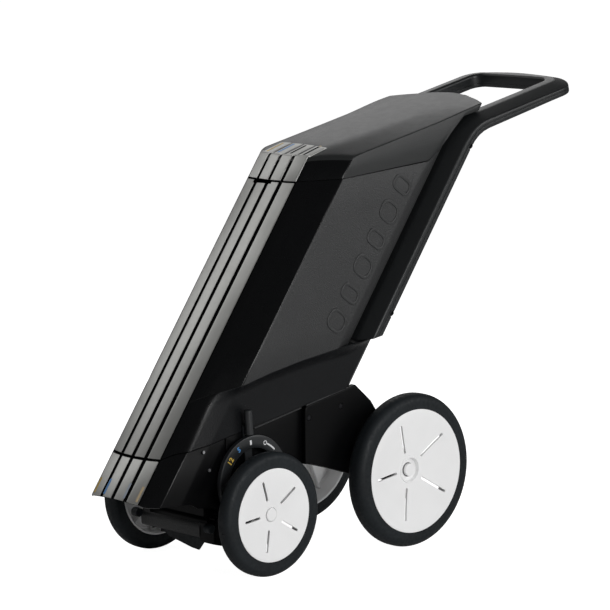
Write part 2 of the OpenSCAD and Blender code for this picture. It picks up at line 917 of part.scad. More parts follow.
// Caps over the hubs
cap_t = 2.4;

module front_caps() {
    color("white") place() both_sides() x_cyl(13, front_face, front_face + cap_t, 0, axle_z);
}

module hub_cap() {
    x_cyl(13, rear_face - 3, rear_face + cap_t, wheelbase, rear_r);
}

module hub_caps_right() { color("white") place() hub_cap(); }
module hub_caps_left() { color("white") place() mirror([1, 0, 0]) hub_cap(); }

// ---- gears, rotor and agitator ----

gear_w = 8;
gear_x = -plate_x - plate_t - 3 - gear_w;

// Corners of one tooth: radius from the pitch circle in modules, half width in tooth pitches
tooth = [[-1.25, 0.36], [0, 0.225], [0.9, 0.125]];

function gear_points(teeth, phase) = [
    for (i = [0 : teeth - 1])
        for (k = [-3 : 3])
            if (k != 0)
                let (
                    corner = tooth[k < 0 ? 3 + k : 3 - k],
                    a = phase + (i + sign(k) * corner[1]) * 360 / teeth,
                    r = gear_m * (teeth / 2 + corner[0])
                ) [r * cos(a), r * sin(a)]
];

module gear(teeth, phase, bore, z) {
    difference() {
        translate([gear_x, 0, z]) rotate([90, 0, 90]) linear_extrude(gear_w) polygon(gear_points(teeth, phase));
        x_cyl(bore, gear_x - 1, gear_x + gear_w + 1, 0, z);
    }
}

module axle_gear() { color("ivory") place() gear(axle_teeth, 0, axle_r, axle_z); }
module feed_gear() { color("ivory") place() gear(feed_teeth, 180 / feed_teeth, shaft_r, feed_z); }
module agitator_gear() { color("ivory") place() gear(agitator_teeth, 0, shaft_r, agitator_z); }

module feed_shaft() {
    color("silver") place() x_cyl(shaft_r, gear_x - 2, 91, 0, feed_z);
}

rotor_half = 64;

module feed_rotor() {
    color("#222222") place() difference() {
        union() {
            x_cyl(9, -rotor_half, rotor_half, 0, feed_z);
            for (i = [0 : vanes - 1]) translate([0, 0, feed_z]) rotate([i * 360 / vanes, 0, 0])
                box([-rotor_half, -1, 5], [rotor_half, 1, sleeve_in - 1.5]);
        }
        x_cyl(shaft_r, -80, 80, 0, feed_z);
    }
}

finger_count = 8;

module agitator() {
    color("silver") place() {
        x_cyl(shaft_r, gear_x - 2, plate_x + plate_t, 0, agitator_z);
        for (i = [0 : finger_count - 1])
            translate([-52.5 + i * 15, 0, agitator_z]) rotate([i * 90, 0, 0]) cylinder(r = 2.5, h = 20);
    }
}

// ---- width valve ----

// Half angle of the sleeve's mouth under the throat
mouth_turn = 70;
// Turn of the lever at the middle of its travel
mid_turn = (wide_mark + closed_mark) / 2 - lever_rest;
// Dial angle and length of the window for each line width
windows = [[wide_mark, 120], [narrow_mark, 50], [lever_rest, 30]];

module valve_sleeve() {
    color("silver") place() difference() {
        union() {
            x_cyl(sleeve_r, -housing_half + 2, housing_half, 0, feed_z);
            x_cyl(hub_r, housing_half - eps, plate_x + plate_t + 2, 0, feed_z);
        }
        x_cyl(sleeve_in, -housing_half, housing_half - 4, 0, feed_z);
        x_cyl(shaft_r + run, 0, 100, 0, feed_z);
        // top of the sleeve, open to the throat over the lever's whole travel
        translate([0, 0, feed_z]) side_slab(concat([[0, 3]], [
            for (a = [-mouth_turn : mouth_turn / 4 : mouth_turn])
                [-48 * sin(a - mid_turn), 48 * cos(a - mid_turn)]
        ]), -66, 66);
        for (w = windows) translate([0, 0, feed_z]) rotate([outlet_turn - (w[0] - lever_rest), 0, 0])
            box([-w[1] / 2, -4.2, 10], [w[1] / 2, 4.2, 40]);
    }
}

lever_x = 112;
lever_t = 4;

module width_lever() {
    color("#3a3f44") place() {
        x_cyl(hub_r, plate_x + plate_t + 2, lever_x + lever_t, 0, feed_z);
        translate([0, 0, feed_z]) rotate([lever_rest, 0, 0]) {
            box([lever_x, -9, 0], [lever_x + lever_t, 9, dial_r + 22]);
            translate([dial_x + dial_w / 2, 0, dial_r + 2])
                cylinder(r = lever_d / 2, h = lever_reach - dial_r - 2);
        }
    }
}

// ---- draw ----

hopper_shell();
funnel();
for (i = [1 : 4]) {
    hopper_strip(i);
}
nose_strips();
lid_strips();
nose_cover();
nose_marks_wide();
nose_marks_narrow();
chassis();
side_cover_right();
side_cover_left();
frame_screws();
cover_screws();
feed_housing();
chute();
wind_apron();
front_bush_right();
front_bush_left();
shaft_bushes();
rear_axle();
axle_spacer_right();
axle_spacer_left();
axle_nuts();
dial_ring();
dial_marks_wide();
dial_marks_narrow();
dial_marks_plain();
handle_front();
handle_rear();
handle_screws();
hinge_bracket();
hinge_pin();
lid_shell();
lid_marks_wide();
lid_marks_narrow();
lid_seal();
front_axle();
axle_gear();
front_disc_right();
front_disc_left();
front_tyre_right();
front_tyre_left();
front_caps();
feed_shaft();
feed_rotor();
feed_gear();
agitator();
agitator_gear();
valve_sleeve();
width_lever();
rear_disc_right();
rear_disc_left();
rear_tyre_right();
rear_tyre_left();
hub_caps_right();
hub_caps_left();
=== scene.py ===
"""Looks of a four-wheeled field line marking cart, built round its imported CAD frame."""
import json
from math import atan2, cos, degrees, hypot, pi, radians, sin, tan

import bmesh
import bpy
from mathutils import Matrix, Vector


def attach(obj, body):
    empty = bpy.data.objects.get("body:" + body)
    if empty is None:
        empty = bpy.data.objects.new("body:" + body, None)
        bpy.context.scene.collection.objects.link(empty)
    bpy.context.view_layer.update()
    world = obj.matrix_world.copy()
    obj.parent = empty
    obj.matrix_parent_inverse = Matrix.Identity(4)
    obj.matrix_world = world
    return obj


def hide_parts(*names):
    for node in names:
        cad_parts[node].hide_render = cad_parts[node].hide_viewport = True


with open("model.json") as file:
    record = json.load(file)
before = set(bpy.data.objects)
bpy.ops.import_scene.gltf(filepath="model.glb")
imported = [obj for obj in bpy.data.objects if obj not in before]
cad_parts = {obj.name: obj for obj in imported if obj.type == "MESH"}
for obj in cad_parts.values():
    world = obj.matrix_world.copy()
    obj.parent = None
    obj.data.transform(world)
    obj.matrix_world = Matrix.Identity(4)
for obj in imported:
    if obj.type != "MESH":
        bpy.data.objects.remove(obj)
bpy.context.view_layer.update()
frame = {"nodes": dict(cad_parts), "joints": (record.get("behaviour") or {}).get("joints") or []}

# ---- driving dimensions, in millimetres from the front axle's middle on the ground ----

MM = 0.001
JOINTS = {j["name"]: j for j in frame["joints"]}
AXLE = JOINTS["front_wheels_spin"]["pos_m"]
REAR = JOINTS["rear_wheel_right_spin"]["pos_m"]
DIAL = JOINTS["width_lever_turn"]["pos_m"]
AXLE_Z = AXLE[2] / MM
DIAL_Z = DIAL[2] / MM
WHEELBASE = (REAR[1] - AXLE[1]) / MM
REAR_Z = REAR[2] / MM
HINGE_Y = (JOINTS["lid_hinge"]["pos_m"][1] - AXLE[1]) / MM
HINGE_Z = JOINTS["lid_hinge"]["pos_m"][2] / MM

LEAN = radians(34.8)
SEAM_Y = -183.3
SEAM_Z = 231.8
PANEL_HALF = 68.75
PANEL_BULGE = 7.0
BODY_HALF = 130.0
NOSE_DROP = 94.0
SKIN = 1.5
WALL = 3.2

LID_SLOPE = tan(radians(13.1))
GRIP_SLOPE = 0.2309
HANDLE_HALF = 157.0
GRIP_HALF = 102.0
HANDLE_REACH = 860.0
HOPPER_DEPTH = 262.4
MARK_W = 5.0
SIDES = ((1, "right"), (-1, "left"))


def at(x, y, z):
    """A point given in millimetres from the front axle, in the row frame."""
    return Vector((x * MM, y * MM + AXLE[1], z * MM))


def lean_yz(n, u):
    """Depth n and height u of the leaning hopper, as y and z."""
    return SEAM_Y + n * cos(LEAN) + u * sin(LEAN), SEAM_Z - n * sin(LEAN) + u * cos(LEAN)


def lean(x, n, u):
    return at(x, *lean_yz(n, u))


def line_at(points, y):
    """Height of a polyline of (y, z) points at y, extended past its ends."""
    for (y0, z0), (y1, z1) in zip(points, points[1:]):
        if y <= y1 or (y1, z1) == points[-1]:
            return z0 + (z1 - z0) * (y - y0) / (y1 - y0)


def halve(low, high, below):
    """The value between low and high where a test stops holding."""
    for _ in range(40):
        mid = (low + high) / 2
        if below(mid):
            low = mid
        else:
            high = mid
    return (low + high) / 2


def climb(n, height, low=-400.0):
    """Distance up the lean at depth n to where a height function of y is met."""
    def below(u):
        y, z = lean_yz(n, u)
        return z < height(y)

    return halve(low, 1400.0, below)


# ---- materials ----


def node_material(name, colour, rough, metal=0.0, coat=0.0, specular=0.5):
    """A Principled material; steady numbers are set on the shader's own sockets."""
    m = bpy.data.materials.new(name)
    m.use_nodes = True
    b = m.node_tree.nodes["Principled BSDF"]
    b.inputs["Base Color"].default_value = (*colour, 1)
    b.inputs["Roughness"].default_value = rough
    b.inputs["Metallic"].default_value = metal
    b.inputs["Coat Weight"].default_value = coat
    b.inputs["Specular IOR Level"].default_value = specular
    return m


def add_node(m, kind, **values):
    """A shader node with some of its inputs set; spaces in their names are written as _."""
    n = m.node_tree.nodes.new(kind)
    for name, value in values.items():
        n.inputs[name.replace("_", " ")].default_value = value
    return n


def object_coords(m, stretch=(1, 1, 1)):
    t = add_node(m, "ShaderNodeTexCoord")
    mp = add_node(m, "ShaderNodeMapping", Scale=stretch)
    m.node_tree.links.new(t.outputs["Object"], mp.inputs["Vector"])
    return mp.outputs["Vector"]


def noise(m, coords, scale, detail=3.0):
    n = add_node(m, "ShaderNodeTexNoise", Scale=scale, Detail=detail)
    m.node_tree.links.new(coords, n.inputs["Vector"])
    return n.outputs["Fac"]


def ramp(m, fac, low, high):
    """Maps a factor to the span of two grey levels or two colours."""
    r = add_node(m, "ShaderNodeValToRGB")
    for element, place, value in zip(r.color_ramp.elements, (0.35, 0.65), (low, high)):
        element.position = place
        element.color = (*value, 1) if isinstance(value, tuple) else (value, value, value, 1)
    m.node_tree.links.new(fac, r.inputs["Fac"])
    return r.outputs["Color"]


def plug(m, output, socket):
    m.node_tree.links.new(output, m.node_tree.nodes["Principled BSDF"].inputs[socket])


def bump(m, height, strength, distance):
    b = add_node(m, "ShaderNodeBump", Strength=strength, Distance=distance)
    m.node_tree.links.new(height, b.inputs["Height"])
    plug(m, b.outputs["Normal"], "Normal")


def shade(colour, k):
    return tuple(min(1.0, c * k) for c in colour)


def plastic(name, colour, rough, grain=900.0, depth=0.00012, strength=0.5, spread=0.12,
                     coat=0.0, specular=0.5):
    """Moulded plastic with a leather-like grain and faint cloudy shading."""
    m = node_material(name, colour, rough, coat=coat, specular=specular)
    c = object_coords(m)
    cloud = ramp(m, noise(m, c, 9.0, 2.0), shade(colour, 1 - spread), shade(colour, 1 + spread))
    plug(m, cloud, "Base Color")
    plug(m, ramp(m, noise(m, c, 60.0, 4.0), rough - 0.015, rough + 0.02), "Roughness")
    v = add_node(m, "ShaderNodeTexVoronoi", Scale=grain)
    m.node_tree.links.new(c, v.inputs["Vector"])
    bump(m, v.outputs["Distance"], strength, depth)
    return m


def printed(name, colour, spread=0.06):
    """Print or a thin inlay on a moulding."""
    return plastic(name, colour, 0.45, 900.0, 0.00003, 0.1, spread)


def silver_strip():
    m = node_material("satin_silver", (0.42, 0.42, 0.405), 0.36, metal=0.8)
    c = object_coords(m)
    plug(m, ramp(m, noise(m, c, 12.0, 3.0), (0.39, 0.39, 0.375), (0.45, 0.45, 0.435)), "Base Color")
    plug(m, ramp(m, noise(m, c, 500.0, 3.0), 0.32, 0.44), "Roughness")
    bump(m, noise(m, c, 1500.0, 2.0), 0.12, 0.00004)
    return m


def rubber(name, colour):
    m = node_material(name, colour, 0.5, specular=0.25)
    c = object_coords(m)
    plug(m, ramp(m, noise(m, c, 14.0, 4.0), shade(colour, 0.85), shade(colour, 1.25)), "Base Color")
    plug(m, ramp(m, noise(m, c, 160.0, 4.0), 0.45, 0.68), "Roughness")
    bump(m, noise(m, c, 700.0, 3.0), 0.25, 0.00008)
    return m


def metal(name, colour, rough):
    m = node_material(name, colour, rough, metal=1.0)
    c = object_coords(m, (4, 1, 1))
    plug(m, ramp(m, noise(m, c, 180.0, 4.0), rough - 0.08, rough + 0.1), "Roughness")
    bump(m, noise(m, c, 600.0, 2.0), 0.1, 0.00003)
    return m


MAT = {
    "side": plastic("grained_grey", (0.0165, 0.0171, 0.0177), 0.46, 420.0, 0.0006, 0.8, 0.05),
    # the foot: the side walls' grey plastic, made darker as painted shade where the foot turns in and down
    "skirt": plastic(
        "skirt_grey_painted_shade", (0.0034, 0.0039, 0.0047), 0.42, 420.0, 0.0004, 0.6, 0.05, specular=0.2),
    "lid": plastic("satin_grey", (0.0145, 0.0156, 0.0158), 0.4, 520.0, 0.00028, 0.6, 0.015),
    "band": plastic(
        "dark_band", (0.0018, 0.002, 0.0024), 0.28, 700.0, 0.0001, 0.3, 0.04, specular=0.22),
    # near black with almost no reflection: painted shade in the grooves between the silver strips and on the
    # strips' edges; the same material is also the print of the two dark marks on the lid
    "groove": plastic(
        "painted_groove_shade_and_print_black", (0.0009, 0.0009, 0.001), 0.8, 900.0, 0.00005, 0.2, 0.1, specular=0.04),
    "silver": silver_strip(),
    "frame": plastic(
        "frame_black", (0.0011, 0.0012, 0.0015), 0.4, 800.0, 0.0001, 0.35, 0.08, specular=0.12),
    "handle": plastic(
        "handle_grey", (0.011, 0.0122, 0.013), 0.36, 1000.0, 0.00008, 0.3, 0.06, specular=0.4),
    "dial": plastic("dial_grey", (0.012, 0.0135, 0.015), 0.36, 1000.0, 0.00008, 0.3, 0.08),
    "natural": plastic("natural_plastic", (0.72, 0.71, 0.67), 0.4, 900.0, 0.00005, 0.2, 0.05),
    "white": plastic(
        "disc_white", (0.90, 0.90, 0.90), 0.32, 1200.0, 0.00004, 0.15, 0.02, coat=0.2),
    "tyre": rubber("tyre_rubber", (0.008, 0.0105, 0.0125)),
    "seal": rubber("seal_rubber", (0.01, 0.01, 0.011)),
    "steel": metal("bright_steel", (0.6, 0.6, 0.6), 0.28),
    "zinc": metal("zinc_screw", (0.55, 0.55, 0.57), 0.35),
    "dark_screw": metal("dark_screw", (0.03, 0.03, 0.033), 0.4),
    "yellow": printed("mark_yellow", (0.62, 0.42, 0.07)),
    "blue": printed("mark_blue", (0.08, 0.27, 0.60)),
    "tan": printed("mark_tan", (0.52, 0.41, 0.25)),
    "pale": printed("mark_pale", (0.32, 0.36, 0.42)),
    "print": printed("mark_white", (0.75, 0.76, 0.77), 0.04),
}

# ---- mesh building ----


def add(name, data):
    """A new object in the scene."""
    o = bpy.data.objects.new(name, data)
    bpy.context.collection.objects.link(o)
    return o


def mesh_from(name, shape):
    """A mesh from a pair of points and faces."""
    me = bpy.data.meshes.new(name)
    me.from_pydata([tuple(v) for v in shape[0]], [], shape[1])
    return me


def make(name, shape, body, material, node, smooth=35.0, zones=None, extra=()):
    """A piece that rides on a body and stands for a CAD node, shaded smooth up to an angle.

    Where it has more than one material, zones gives each face's place in (material, *extra).
    """
    me = mesh_from(name, shape)
    for key in (material, *extra):
        me.materials.append(MAT[key])
    if zones:
        for p, i in zip(me.polygons, zones):
            p.material_index = i
    o = add(name, me)
    tidy(o, smooth)
    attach(o, body)
    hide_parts(node)
    return o


def tidy(o, smooth=35.0):
    """Merges doubled points, turns the faces outwards and shades smooth up to an angle."""
    bm = bmesh.new()
    bm.from_mesh(o.data)
    bmesh.ops.remove_doubles(bm, verts=bm.verts, dist=1e-6)
    bmesh.ops.recalc_face_normals(bm, faces=bm.faces)
    limit = radians(smooth)
    for f in bm.faces:
        f.smooth = True
    for e in bm.edges:
        e.smooth = len(e.link_faces) == 2 and e.calc_face_angle(0) < limit
    bm.to_mesh(o.data)
    bm.free()
    o.data.update()


def freeze(o):
    """Applies the modifiers of a piece to its mesh."""
    dg = bpy.context.evaluated_depsgraph_get()
    me = bpy.data.meshes.new_from_object(o.evaluated_get(dg))
    o.modifiers.clear()
    o.data = me


def cut(o, shapes, smooth=None):
    """Cuts solids out of a piece; given a smoothing angle, it tidies the piece too."""
    cutters = [add("cutter", mesh_from("cutter", shape)) for shape in shapes]
    for c in cutters:
        tidy(c)
        b = o.modifiers.new("cut", "BOOLEAN")
        b.operation = "DIFFERENCE"
        b.solver = "EXACT"
        b.object = c
    bpy.context.view_layer.update()
    freeze(o)
    for c in cutters:
        bpy.data.objects.remove(c)
    if smooth:
        tidy(o, smooth)


def round_edges(o, width, segments):
    """Rounds a piece's sharp edges, width in millimetres."""
    b = o.modifiers.new("round", "BEVEL")
    b.width = width * MM
    b.segments = segments
    b.limit_method = "ANGLE"
    b.angle_limit = radians(30.0)
    bpy.context.view_layer.update()
    freeze(o)
    tidy(o)


def loft(rings, closed=True, wrap=False, caps=False):
    """Points and faces of a surface through rings of equally many points."""
    count = len(rings[0])
    verts = [p for ring in rings for p in ring]
    faces = []
    rows = len(rings) if wrap else len(rings) - 1
    for r in range(rows):
        a, b = r * count, ((r + 1) % len(rings)) * count
        for i in range(count if closed else count - 1):
            j = (i + 1) % count
            faces.append((a + i, a + j, b + j, b + i))
    if caps:
        faces.append(tuple(range(count)))
        faces.append(tuple((len(rings) - 1) * count + i for i in range(count)))
    return verts, faces


def circle(c, u, v, r, steps):
    """Points round c, a Vector in metres, in the plane of u and v; r in millimetres."""
    turns = [2 * pi * k / steps for k in range(steps)]
    return [c + (u * cos(a) + v * sin(a)) * r * MM for a in turns]


def revolve(profile, centre, steps, axis_sign=1):
    """Rings of a profile of (x, radius) turned about the X axis through centre (y, z)."""
    rings = []
    for k in range(steps):
        a = 2 * pi * k / steps
        rings.append([at(axis_sign * x, centre[0] + r * sin(a), centre[1] + r * cos(a)) for x, r in profile])
    return loft(rings, closed=True, wrap=True)


def slab_mesh(outline, x0, x1):
    """Points and faces of a slab between x0 and x1 with an outline of (y, z) points."""
    n = len(outline)
    verts = [at(x0, *p) for p in outline] + [at(x1, *p) for p in outline]
    faces = [tuple(range(n)), tuple(range(2 * n - 1, n - 1, -1))]
    faces += [(i, (i + 1) % n, n + (i + 1) % n, n + i) for i in range(n)]
    return verts, faces


def rod_mesh(a, b, r, steps=24, r_end=None):
    """A rod from point a to point b, both Vectors in metres, r in millimetres."""
    axis = (b - a).normalized()
    side = axis.orthogonal().normalized()
    up = axis.cross(side)
    r_end = r if r_end is None else r_end
    return loft([circle(p, side, up, rr, steps) for p, rr in ((a, r), (b, r_end))], caps=True)


def merged(*parts):
    """Joins several (verts, faces) lists into one."""
    verts, faces = [], []
    for v, f in parts:
        k = len(verts)
        verts += list(v)
        faces += [tuple(i + k for i in g) for g in f]
    return verts, faces


def mirrored(shape):
    return [Vector((-v.x, v.y, v.z)) for v in shape[0]], shape[1]


def rect(x0, y0, x1, y1):
    return [(x0, y0), (x1, y0), (x1, y1), (x0, y1)]


def rounded(points, radii, steps=6, closed=True):
    """An outline whose corners are rounded by arcs of the given radii."""
    out = []
    n = len(points)
    for i, (p, r) in enumerate(zip(points, radii)):
        if r <= 0 or (not closed and i in (0, n - 1)):
            out.append(tuple(p))
            continue
        p = Vector(p)
        a = Vector(points[i - 1]) - p
        b = Vector(points[(i + 1) % n]) - p
        la, lb = a.length, b.length
        a.normalize()
        b.normalize()
        half = a.angle(b) / 2
        t = min(r / tan(half), 0.49 * la, 0.49 * lb)
        start, end = p + a * t, p + b * t
        for k in range(steps + 1):
            s = k / steps
            q = start * (1 - s) ** 2 + p * 2 * s * (1 - s) + end * s ** 2
            out.append((q.x, q.y))
    return out


def dense(points, step, closed=True):
    """Adds points along an outline so that no gap is longer than step."""
    out = []
    pairs = list(zip(points, points[1:] + points[:1])) if closed else list(zip(points, points[1:]))
    for (x0, y0), (x1, y1) in pairs:
        k = max(1, int(hypot(x1 - x0, y1 - y0) / step))
        out += [(x0 + (x1 - x0) * i / k, y0 + (y1 - y0) * i / k) for i in range(k)]
    return out if closed else out + [points[-1]]


def inset(points, d, closed=True):
    """Moves an outline's points inwards by d along their normals; inwards is to the left."""
    n = len(points)
    out = []
    for i, p in enumerate(points):
        a = points[i - 1] if closed or i > 0 else p
        b = points[(i + 1) % n] if closed or i < n - 1 else p
        tx, ty = b[0] - a[0], b[1] - a[1]
        s = hypot(tx, ty) or 1.0
        out.append((p[0] - ty / s * d, p[1] + tx / s * d))
    return out


# ---- outlines of the leaning section: x across, n into the hopper, turning anticlockwise ----


def panel_n(x):
    return -PANEL_BULGE * (1 - (x / PANEL_HALF) ** 2)


def panel_arc(gap):
    return [(x, panel_n(x) + gap) for x in [PANEL_HALF * k / 16 for k in range(-16, 17)]]


def section(side_points, radii):
    """A closed outline: the bulged front panel, then the right side's points and their mirror."""
    front = panel_arc(SKIN)
    right = side_points
    left = [(-x, n) for x, n in reversed(side_points)]
    return rounded(front + right + left, [0] * len(front) + radii + radii[::-1])


UPPER = section([(BODY_HALF, 50), (136, 222), (131, 246), (108, 262)], [7, 30, 14, 14])
LOWER = section([(99, 25), (109, 60), (111, 150), (122, 298), (112, 312)], [4, 24, 60, 8, 6])
SHOULDER = section([(BODY_HALF, 50), (136, 222), (147, 262), (147, 290), (112, 310)], [7, 60, 16, 12, 8])
LID = section(
    [(BODY_HALF, 50), (133.5, 262), (132, 293), (98, 306), (50, 320), (0.01, 325)], [7, 40, 7, 24, 30, 0])


def lid_seam(y):
    return line_at([(100, 724), (165, 729), (464, 755), (478, 765), (552, 836), (690, 862)], y)


def crease(y):
    return line_at([
        (-300, 262), (-130, 325), (-80, 346), (-29, 363), (40, 380), (118, 395), (262, 416.5), (296, 423),
        (420, 441),
    ], y)


def skirt_seam(y):
    return line_at([(-300, 215), (-183.3, 231.8), (-160, 243), (272, 330), (420, 360)], y)


# ---- hopper ----


def level(points, height, lift=0):
    """A ring of the leaning section where a height function of y is met."""
    return [lean(x, n, climb(n, height) + lift) for x, n in points]


def wall_rings(outline, low, high, rows):
    """Rings of a leaning shell: up its outside from low to high, then down its inside."""
    inner = inset(outline, WALL)
    near = inset(outline, 0.3)
    low_u = [climb(n, low) for x, n in outline]
    high_u = [climb(n, high) for x, n in outline]
    rings = [level(near, low), level(outline, low, 1.0)]
    for k in range(1, rows):
        rings.append([lean(x, n, a + (b - a) * k / rows) for (x, n), a, b in zip(outline, low_u, high_u)])
    return rings + [level(outline, high, -1.0), level(near, high), level(inner, high), level(inner, low)]


def zone(x, n, bevel_x):
    """Material index by place on the section: groove black (painted shade under and between the strips),
    band, or side.
    """
    if n > bevel_x[1] + 1 or abs(x) > bevel_x[0] + 0.5:
        return 2
    return 0 if abs(x) < PANEL_HALF - 0.5 else 1


def face_zone(outline, face, bevel_x):
    """Zone of a face of a loft, at the middle of its first edge."""
    (x0, n0), (x1, n1) = [outline[i % len(outline)] for i in face[:2]]
    return zone((x0 + x1) / 2, (n0 + n1) / 2, bevel_x)


def ray_angles(*outlines):
    """Directions from the section's middle to every outline's points, in order and without doubles."""
    found = sorted(atan2(n - 150, x) for outline in outlines for x, n in outline)
    return [a for a, b in zip(found, found[1:] + [found[0] + 2 * pi]) if b - a > 0.004]


def ray_points(outline, angles):
    """Points where rays from the section's middle meet an outline."""
    out = []
    for a in angles:
        dx, dn = cos(a), sin(a)
        best = 0.0
        for (x0, n0), (x1, n1) in zip(outline, outline[1:] + outline[:1]):
            ex, en = x1 - x0, n1 - n0
            det = dx * -en + ex * dn
            if abs(det) < 1e-9:
                continue
            t = (x0 * -en + ex * (n0 - 150)) / det
            w = (dx * (n0 - 150) - dn * x0) / det
            if -1e-6 <= w <= 1 + 1e-6 and t > best:
                best = t
        out.append((dx * best, 150 + dn * best))
    return out


SKIRT_FALL = (
    (0.4, 0.0), (-1.5, 0.02), (-5.0, 0.16), (-12.0, 0.42), (-22.0, 0.74), (-30.0, 0.92), (-38.0, 1.0))


def skirt():
    """The hopper's foot: it turns in softly under the crease and runs down to the frame."""
    upper = inset(dense(UPPER, 14), 0.5)
    shoulder = inset(dense(SHOULDER, 14), 0.5)
    lower = dense(LOWER, 12)
    angles = ray_angles(upper, shoulder, lower)
    wall, wide, slim = [ray_points(outline, angles) for outline in (upper, shoulder, lower)]
    rings = [level([(x * 0.99, n) for x, n in wall], crease, 0.6)]
    for drop, t in SKIRT_FALL:
        ring = []
        for a, b in zip(wide, slim):
            # at the rear the foot is the wider one, and its shoulder carries the arms
            wider = hypot(b[0], b[1] - 150) > hypot(a[0], a[1] - 150)
            k = 1.0 if wider and drop < 0 else t
            ring.append((a[0] + (b[0] - a[0]) * k, a[1] + (b[1] - a[1]) * k))
        rings.append([
            lean(x, n, max(climb(n, crease) + drop, climb(n, skirt_seam) + 1.5)) for x, n in ring
        ])
    inner = [(x * 0.965, 150 + (n - 150) * 0.965) for x, n in slim]
    rings += [level(slim, skirt_seam, 0.4), level(inner, skirt_seam, 0.4), level(inner, crease, -2.0)]
    shape = loft(rings, wrap=True)
    # the foot's front under the strips takes the groove black and its sides the skirt grey, both darkened as
    # painted shade
    zones = [face_zone(slim, f, (99, 25)) for f in shape[1]]
    make("hopper_skirt", shape, "frame", "groove", "hopper_shell", 40.0, zones,
         ("band", "skirt"))


def hopper():
    outline = dense(UPPER, 14)
    shape = loft(wall_rings(outline, crease, lambda y: lid_seam(y) - 0.6, 6), wrap=True)
    zones = [face_zone(outline, f, (BODY_HALF, 50)) for f in shape[1]]
    tube = make("hopper_body", shape, "frame", "groove", "hopper_shell", 32.0, zones,
                ("band", "side"))
    notch = rounded(rect(-43, 590, 11, 604), [5, 5, 3, 3])
    cut(tube, [loft([[lean(x, n, u) for x, u in notch] for n in (-20, 14)], caps=True)], 32.0)


def side_relief():
    """A row of plain raised loops on each side wall, climbing along the lean."""
    for sign, side in SIDES:
        parts = []
        for k in range(6):
            mid = 412 + 61 * k
            half_n, half_u = 25, (17 if k % 2 else 22)
            rings = []
            for shrink, lift in ((0, -0.6), (0.5, 1.1), (1.2, 1.5), (5.2, 1.5), (5.9, 1.1), (6.4, -0.6)):
                a, b = half_n - shrink, half_u - shrink
                loop = rounded(rect(-a, -b, a, b), [min(a, b) * 0.95] * 4, 8)
                rings.append([
                    lean(sign * (BODY_HALF + (190 + n - 50) * 6 / 172 + lift), 190 + n, mid + u)
                    for n, u in loop
                ])
            parts.append(loft(rings, wrap=True))
        make(f"hopper_relief_{side}", merged(*parts), "frame", "side", "hopper_shell",
             40.0)


STRIP_EDGES = [-67.5, -34.2, 0.0, 34.2, 67.5]
GROOVE = 8.4
NOTCH = (-43.0, 11.0)
NOTCH_U = 592.0


def strip_outline(i):
    """Cross-section of strip i with rounded edges, as (x, depth under the panel's face)."""
    x0 = STRIP_EDGES[i] + (GROOVE / 2 if i > 0 else 0.3)
    x1 = STRIP_EDGES[i + 1] - (GROOVE / 2 if i < 3 else 0.3)
    xs = [x0 + (x1 - x0) * k / 10 for k in range(1, 10)]
    xs += [e + d for e in NOTCH for d in (-0.05, 0.05) if x0 + 1 < e < x1 - 1]
    top = [(x, 0.0) for x in sorted(xs)]
    left = [(x0, 1.6), (x0 + 0.05, 0.3), (x0 + 0.2, 0.08), (x0 + 0.45, 0.0)]
    right = [(x1 - 0.45, 0.0), (x1 - 0.2, 0.08), (x1 - 0.05, 0.3), (x1, 1.6)]
    return left + [p for p in top if x0 + 1.2 < p[0] < x1 - 1.2] + right


def strip(name, i, low_u, high_u, body, node):
    """One silver strip; low_u and high_u give its ends' heights up the lean at x and depth n."""
    outline = strip_outline(i)
    rings = []
    for end, sign in ((low_u, 1), (high_u, -1)):
        steps = [(0.0, 0.6), (0.3, 0.15), (0.9, 0.0)]
        for lift, sink in steps[::sign]:
            rings.append([
                lean(x, panel_n(x) + d + sink, end(x, panel_n(x)) + sign * lift) for x, d in outline
            ])
    shape = loft(rings, caps=True)
    count = len(outline)
    # the strip's walls and the curve of its edges take the groove black: painted shade that darkens the
    # grooves and hides the edges' highlights on what is silver
    painted_shade_walls = (0, 1, count - 3, count - 2, count - 1)
    zones = [1 if f[0] % count in painted_shade_walls and len(f) == 4 else 0 for f in shape[1]]
    make(name, shape, body, "silver", node, 40.0, zones, ("groove",))


def front_strips():
    def hopper_end(x, n):
        end = climb(n, lambda y: lid_seam(y) - 2.4)
        return min(end, NOTCH_U) if NOTCH[0] < x < NOTCH[1] else end

    for i in range(4):
        strip(f"hopper_strip_look_{i + 1}", i, lambda x, n: climb(n, lambda y: skirt_seam(y) + 2.0),
              hopper_end, "frame", f"hopper_strip_{i + 1}")
        strip(f"nose_strip_look_{i + 1}", i, lambda x, n: -NOSE_DROP,
              lambda x, n: climb(n, lambda y: skirt_seam(y) - 2.0), "frame", "nose_strips")


# ---- lid ----


def smooth_min(a, b, k):
    h = max(0.0, min(1.0, 0.5 + 0.5 * (b - a) / k))
    return b * (1 - h) + a * h - k * h * (1 - h)


def lid_top(x, y):
    """Height of the lid's top: a flat middle with a steeper front, and sides that fall to the edges."""
    edge = 776 + LID_SLOPE * (y - 259)
    middle = smooth_min(771 + 0.32 * (y - 188), 791.5 + 0.195 * (y - 252), 3.0)
    middle = max(middle, edge)
    out = abs(x) - PANEL_HALF
    width = BODY_HALF - PANEL_HALF
    blend = 14.0
    fall = max(0.0, out) if abs(out) > blend else (out + blend) ** 2 / (4 * blend)
    rear = max(0.0, min(1.0, (y - 480) / 130))
    fall *= 1 - 0.7 * rear * rear * (3 - 2 * rear)
    crown = 1.2 * (1 - min(1.0, (x / PANEL_HALF) ** 2))
    return middle + (edge - middle) * fall / width + crown


def lid_u(x, n):
    return climb(n, lambda y: lid_top(x, y), 400.0)


LID_CENTRE_N = 150.0
LID_FRONT_ROUND = 7.0
LID_SIDE_ROUND = 2.6


